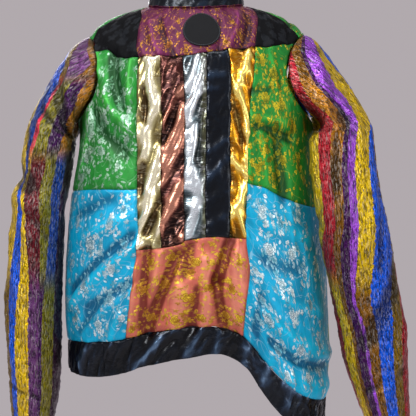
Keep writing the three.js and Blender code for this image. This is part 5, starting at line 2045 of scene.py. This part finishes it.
class JACKET_OT_sleeves(bpy.types.Operator):
    """Make the striped sleeves and their black cuffs"""

    bl_idname = "jacket.sleeves"
    bl_label = "Sleeves and cuffs"

    def execute(self, context):
        cell = settings().sleeve_cell
        left = striped_lame("Striped metallic cloth left", LEFT_COLOURS, LEFT_FRONT)
        right = striped_lame("Striped metallic cloth right", RIGHT_COLOURS, RIGHT_FRONT)
        sides = (
            ("left", 1, SLEEVE_LEFT, SLEEVE_FOLDS_LEFT, STRIPES_LEFT, left),
            ("right", -1, SLEEVE_RIGHT, SLEEVE_FOLDS_RIGHT, STRIPES_RIGHT, right),
        )
        for word, side, rows, folds, table, material in sides:
            sleeve("cloth_sleeve_" + word, "sleeve_" + word, side, rows, folds, table, material, cell)
        for word, side, rows, folds, _, _ in sides:
            cuff("cloth_cuff_" + word, "cuff_" + word, side, rows, folds, wet_black(), cell)
        return {"FINISHED"}


class JACKET_OT_edges(bpy.types.Operator):
    """Make the hem band and the standing collar"""

    bl_idname = "jacket.edges"
    bl_label = "Hem band and collar"

    def execute(self, context):
        cell = settings().back_cell
        black = wet_black()
        hem_band("hem_back", "hem_band_back", fixed(BAND_SEAM_LEFT), fixed(BAND_SEAM_RIGHT), cell, black)
        hem_band("hem_left", "hem_band_left", band_front(1), fixed(BAND_SEAM_LEFT), cell, black)
        hem_band("hem_right", "hem_band_right", fixed(BAND_SEAM_RIGHT), band_front(-1), cell, black)
        collar(cell, black)
        return {"FINISHED"}


class JACKET_OT_patch(bpy.types.Operator):
    """Dress the round patch and sew round its edge"""

    bl_idname = "jacket.patch"
    bl_label = "Round patch"

    def execute(self, context):
        show_as("back_patch", patch_cloth())
        turn = np.radians(np.linspace(0, 360, 121))
        radius = PATCH_RADIUS - PATCH_STITCH_INSET
        deg = PATCH_DEG - radius * np.cos(turn) / PATCH_MM_PER_DEG
        level = PATCH_LEVEL + radius * np.sin(turn) / PATCH_MM_PER_LEVEL
        frames = frames_along(body(deg, level), body_way(deg, level), STITCH_PITCH, PATCH_TOP)
        thread = plain_weave("Black thread", shade(44, 47, 54), shade(84, 88, 98), 0.5)
        scattered("patch_stitches", frames, STITCH, thread)
        return {"FINISHED"}


def set_teeth(metal):
    """Two rows of teeth along the middle of the front, which stand for the chain."""
    level = np.linspace(ZIP_LOW, ZIP_TOP - 0.005, 400)
    line = body(np.full_like(level, 180), level)
    way = body_way(np.full_like(level, 180), level)
    line[:, 0] = 0
    way[:, 0] = 0
    frames = frames_along(line, way, TOOTH_PITCH, -TOOTH_SINK)
    for i, frame_here in enumerate(frames):
        side = 1 if i % 2 else -1
        frames[i] = frame_here @ Matrix.Translation((0, side * TOOTH_OFF * MM, 0))
    teeth = scattered("zip_teeth", frames, TOOTH, metal)
    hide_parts("zip_chain")


def sew_beside_zip(side, name, thread):
    """A row of stitches down a front, beside the zip."""
    level = np.linspace(ZIP_STITCH_LOW, ZIP_STITCH_TOP, 300)
    deg = side * front_girth(ZIP_EDGE + ZIP_STITCH_INSET, level)
    frames = frames_along(body(deg, level), body_way(deg, level), ZIP_STITCH_PITCH, ZIP_STITCH_LIFT)
    scattered(name, frames, STITCH, thread)


class JACKET_OT_zip(bpy.types.Operator):
    """Dress the zip, set its teeth and sew beside it"""

    bl_idname = "jacket.zip"
    bl_label = "Front zip"

    def execute(self, context):
        metal = plain_weave("Zip metal", shade(112, 114, 120), shade(176, 178, 184), 0.28, 1.0, 300.0)
        tape = plain_weave("Zip tape", shade(14, 15, 18), shade(32, 34, 38), 0.8)
        thread = plain_weave("Green thread", shade(30, 74, 40), shade(70, 120, 74), 0.5)
        for node, material in (
            ("zip_tape_left", tape),
            ("zip_tape_right", tape),
            ("zip_slider", metal),
            ("zip_pull_tab", metal),
        ):
            show_as(node, material)
        set_teeth(metal)
        sew_beside_zip(1, "zip_stitches_left", thread)
        sew_beside_zip(-1, "zip_stitches_right", thread)
        return {"FINISHED"}


# Camera, floor and lights, in metres.
AIM = Vector((-0.020, 0.0, -0.329))
CAMERA = (-0.2226, 2.316, -0.329)
LENS, SENSOR = 117.5, 36.0
FLOOR_RADIUS, FLOOR_Z = 1.6, -0.95
FLOOR_DARK, FLOOR_LIGHT = (0.60, 0.56, 0.58, 1), (0.64, 0.60, 0.62, 1)
# Lights: name, place, width and height, share of the main light's power.
LIGHTS = [
    ("Key light", (1.2, 1.9, 1.0), (0.8, 1.0), 1.0),
    ("Fill light", (-1.8, 1.6, 0.1), (0.7, 1.8), 0.35),
    ("Top light", (0.0, 0.7, 1.6), (1.4, 0.5), 0.4),
    ("Front light", (0.6, -2.4, 0.5), (1.6, 1.6), 0.8),
]


def look_at_aim(holder, place):
    holder.location = place
    holder.rotation_euler = (AIM - Vector(place)).to_track_quat("-Z", "Y").to_euler()


def set_backdrop(context):
    world = bpy.data.worlds.new("Backdrop")
    world.use_nodes = True
    back = world.node_tree.nodes["Background"]
    back.inputs["Color"].default_value = tuple(settings().backdrop)
    back.inputs["Strength"].default_value = 1.0
    context.scene.world = world


def lay_floor():
    bm = bmesh.new()
    bmesh.ops.create_circle(bm, cap_ends=True, radius=FLOOR_RADIUS, segments=96)
    floor = place_in_scene("Floor", mesh_from(bm, "Floor"))
    floor.location.z = FLOOR_Z
    floor.data.materials.append(plain_weave("Floor paint", FLOOR_DARK, FLOOR_LIGHT, 0.8, 0.0, 3.0))


def hang_lights():
    watts = settings().key_power
    for name, place, size, share in LIGHTS:
        lamp = bpy.data.lights.new(name, "AREA")
        lamp.energy = watts * share
        lamp.shape = "RECTANGLE"
        lamp.size, lamp.size_y = size
        look_at_aim(place_in_scene(name, lamp), place)


def set_camera(context):
    lens = bpy.data.cameras.new("Camera")
    lens.lens = LENS
    lens.sensor_width = SENSOR
    camera = place_in_scene("Camera", lens)
    look_at_aim(camera, CAMERA)
    context.scene.camera = camera


class JACKET_OT_stage(bpy.types.Operator):
    """Set the floor, the soft lights, the backdrop and the camera"""

    bl_idname = "jacket.stage"
    bl_label = "Stage"

    def execute(self, context):
        set_backdrop(context)
        lay_floor()
        hang_lights()
        set_camera(context)
        context.scene.view_settings.view_transform = "Standard"
        return {"FINISHED"}


class JACKET_PT_panel(bpy.types.Panel):
    """List the settings and the steps in the sidebar"""

    bl_label = "Patchwork bomber jacket"
    bl_idname = "JACKET_PT_panel"
    bl_space_type = "VIEW_3D"
    bl_region_type = "UI"
    bl_category = "Jacket"

    def draw(self, context):
        for name in JacketSettings.__annotations__:
            self.layout.prop(context.scene.jacket_settings, name)
        for operator in OPERATORS:
            self.layout.operator(operator.bl_idname)


OPERATORS = (
    JACKET_OT_groups,
    JACKET_OT_upper_back,
    JACKET_OT_strips,
    JACKET_OT_lower_back,
    JACKET_OT_fronts,
    JACKET_OT_sleeves,
    JACKET_OT_edges,
    JACKET_OT_patch,
    JACKET_OT_zip,
    JACKET_OT_stage,
)
CLASSES = (JacketSettings, *OPERATORS, JACKET_PT_panel)


def register():
    for item in CLASSES:
        bpy.utils.register_class(item)
    bpy.types.Scene.jacket_settings = PointerProperty(type=JacketSettings)


def unregister():
    del bpy.types.Scene.jacket_settings
    for item in reversed(CLASSES):
        bpy.utils.unregister_class(item)


def main():
    register()
    for operator in OPERATORS:
        group, name = operator.bl_idname.split(".")
        if getattr(getattr(bpy.ops, group), name)() != {"FINISHED"}:
            raise RuntimeError(operator.bl_label)


if __name__ == "__main__":
    main()
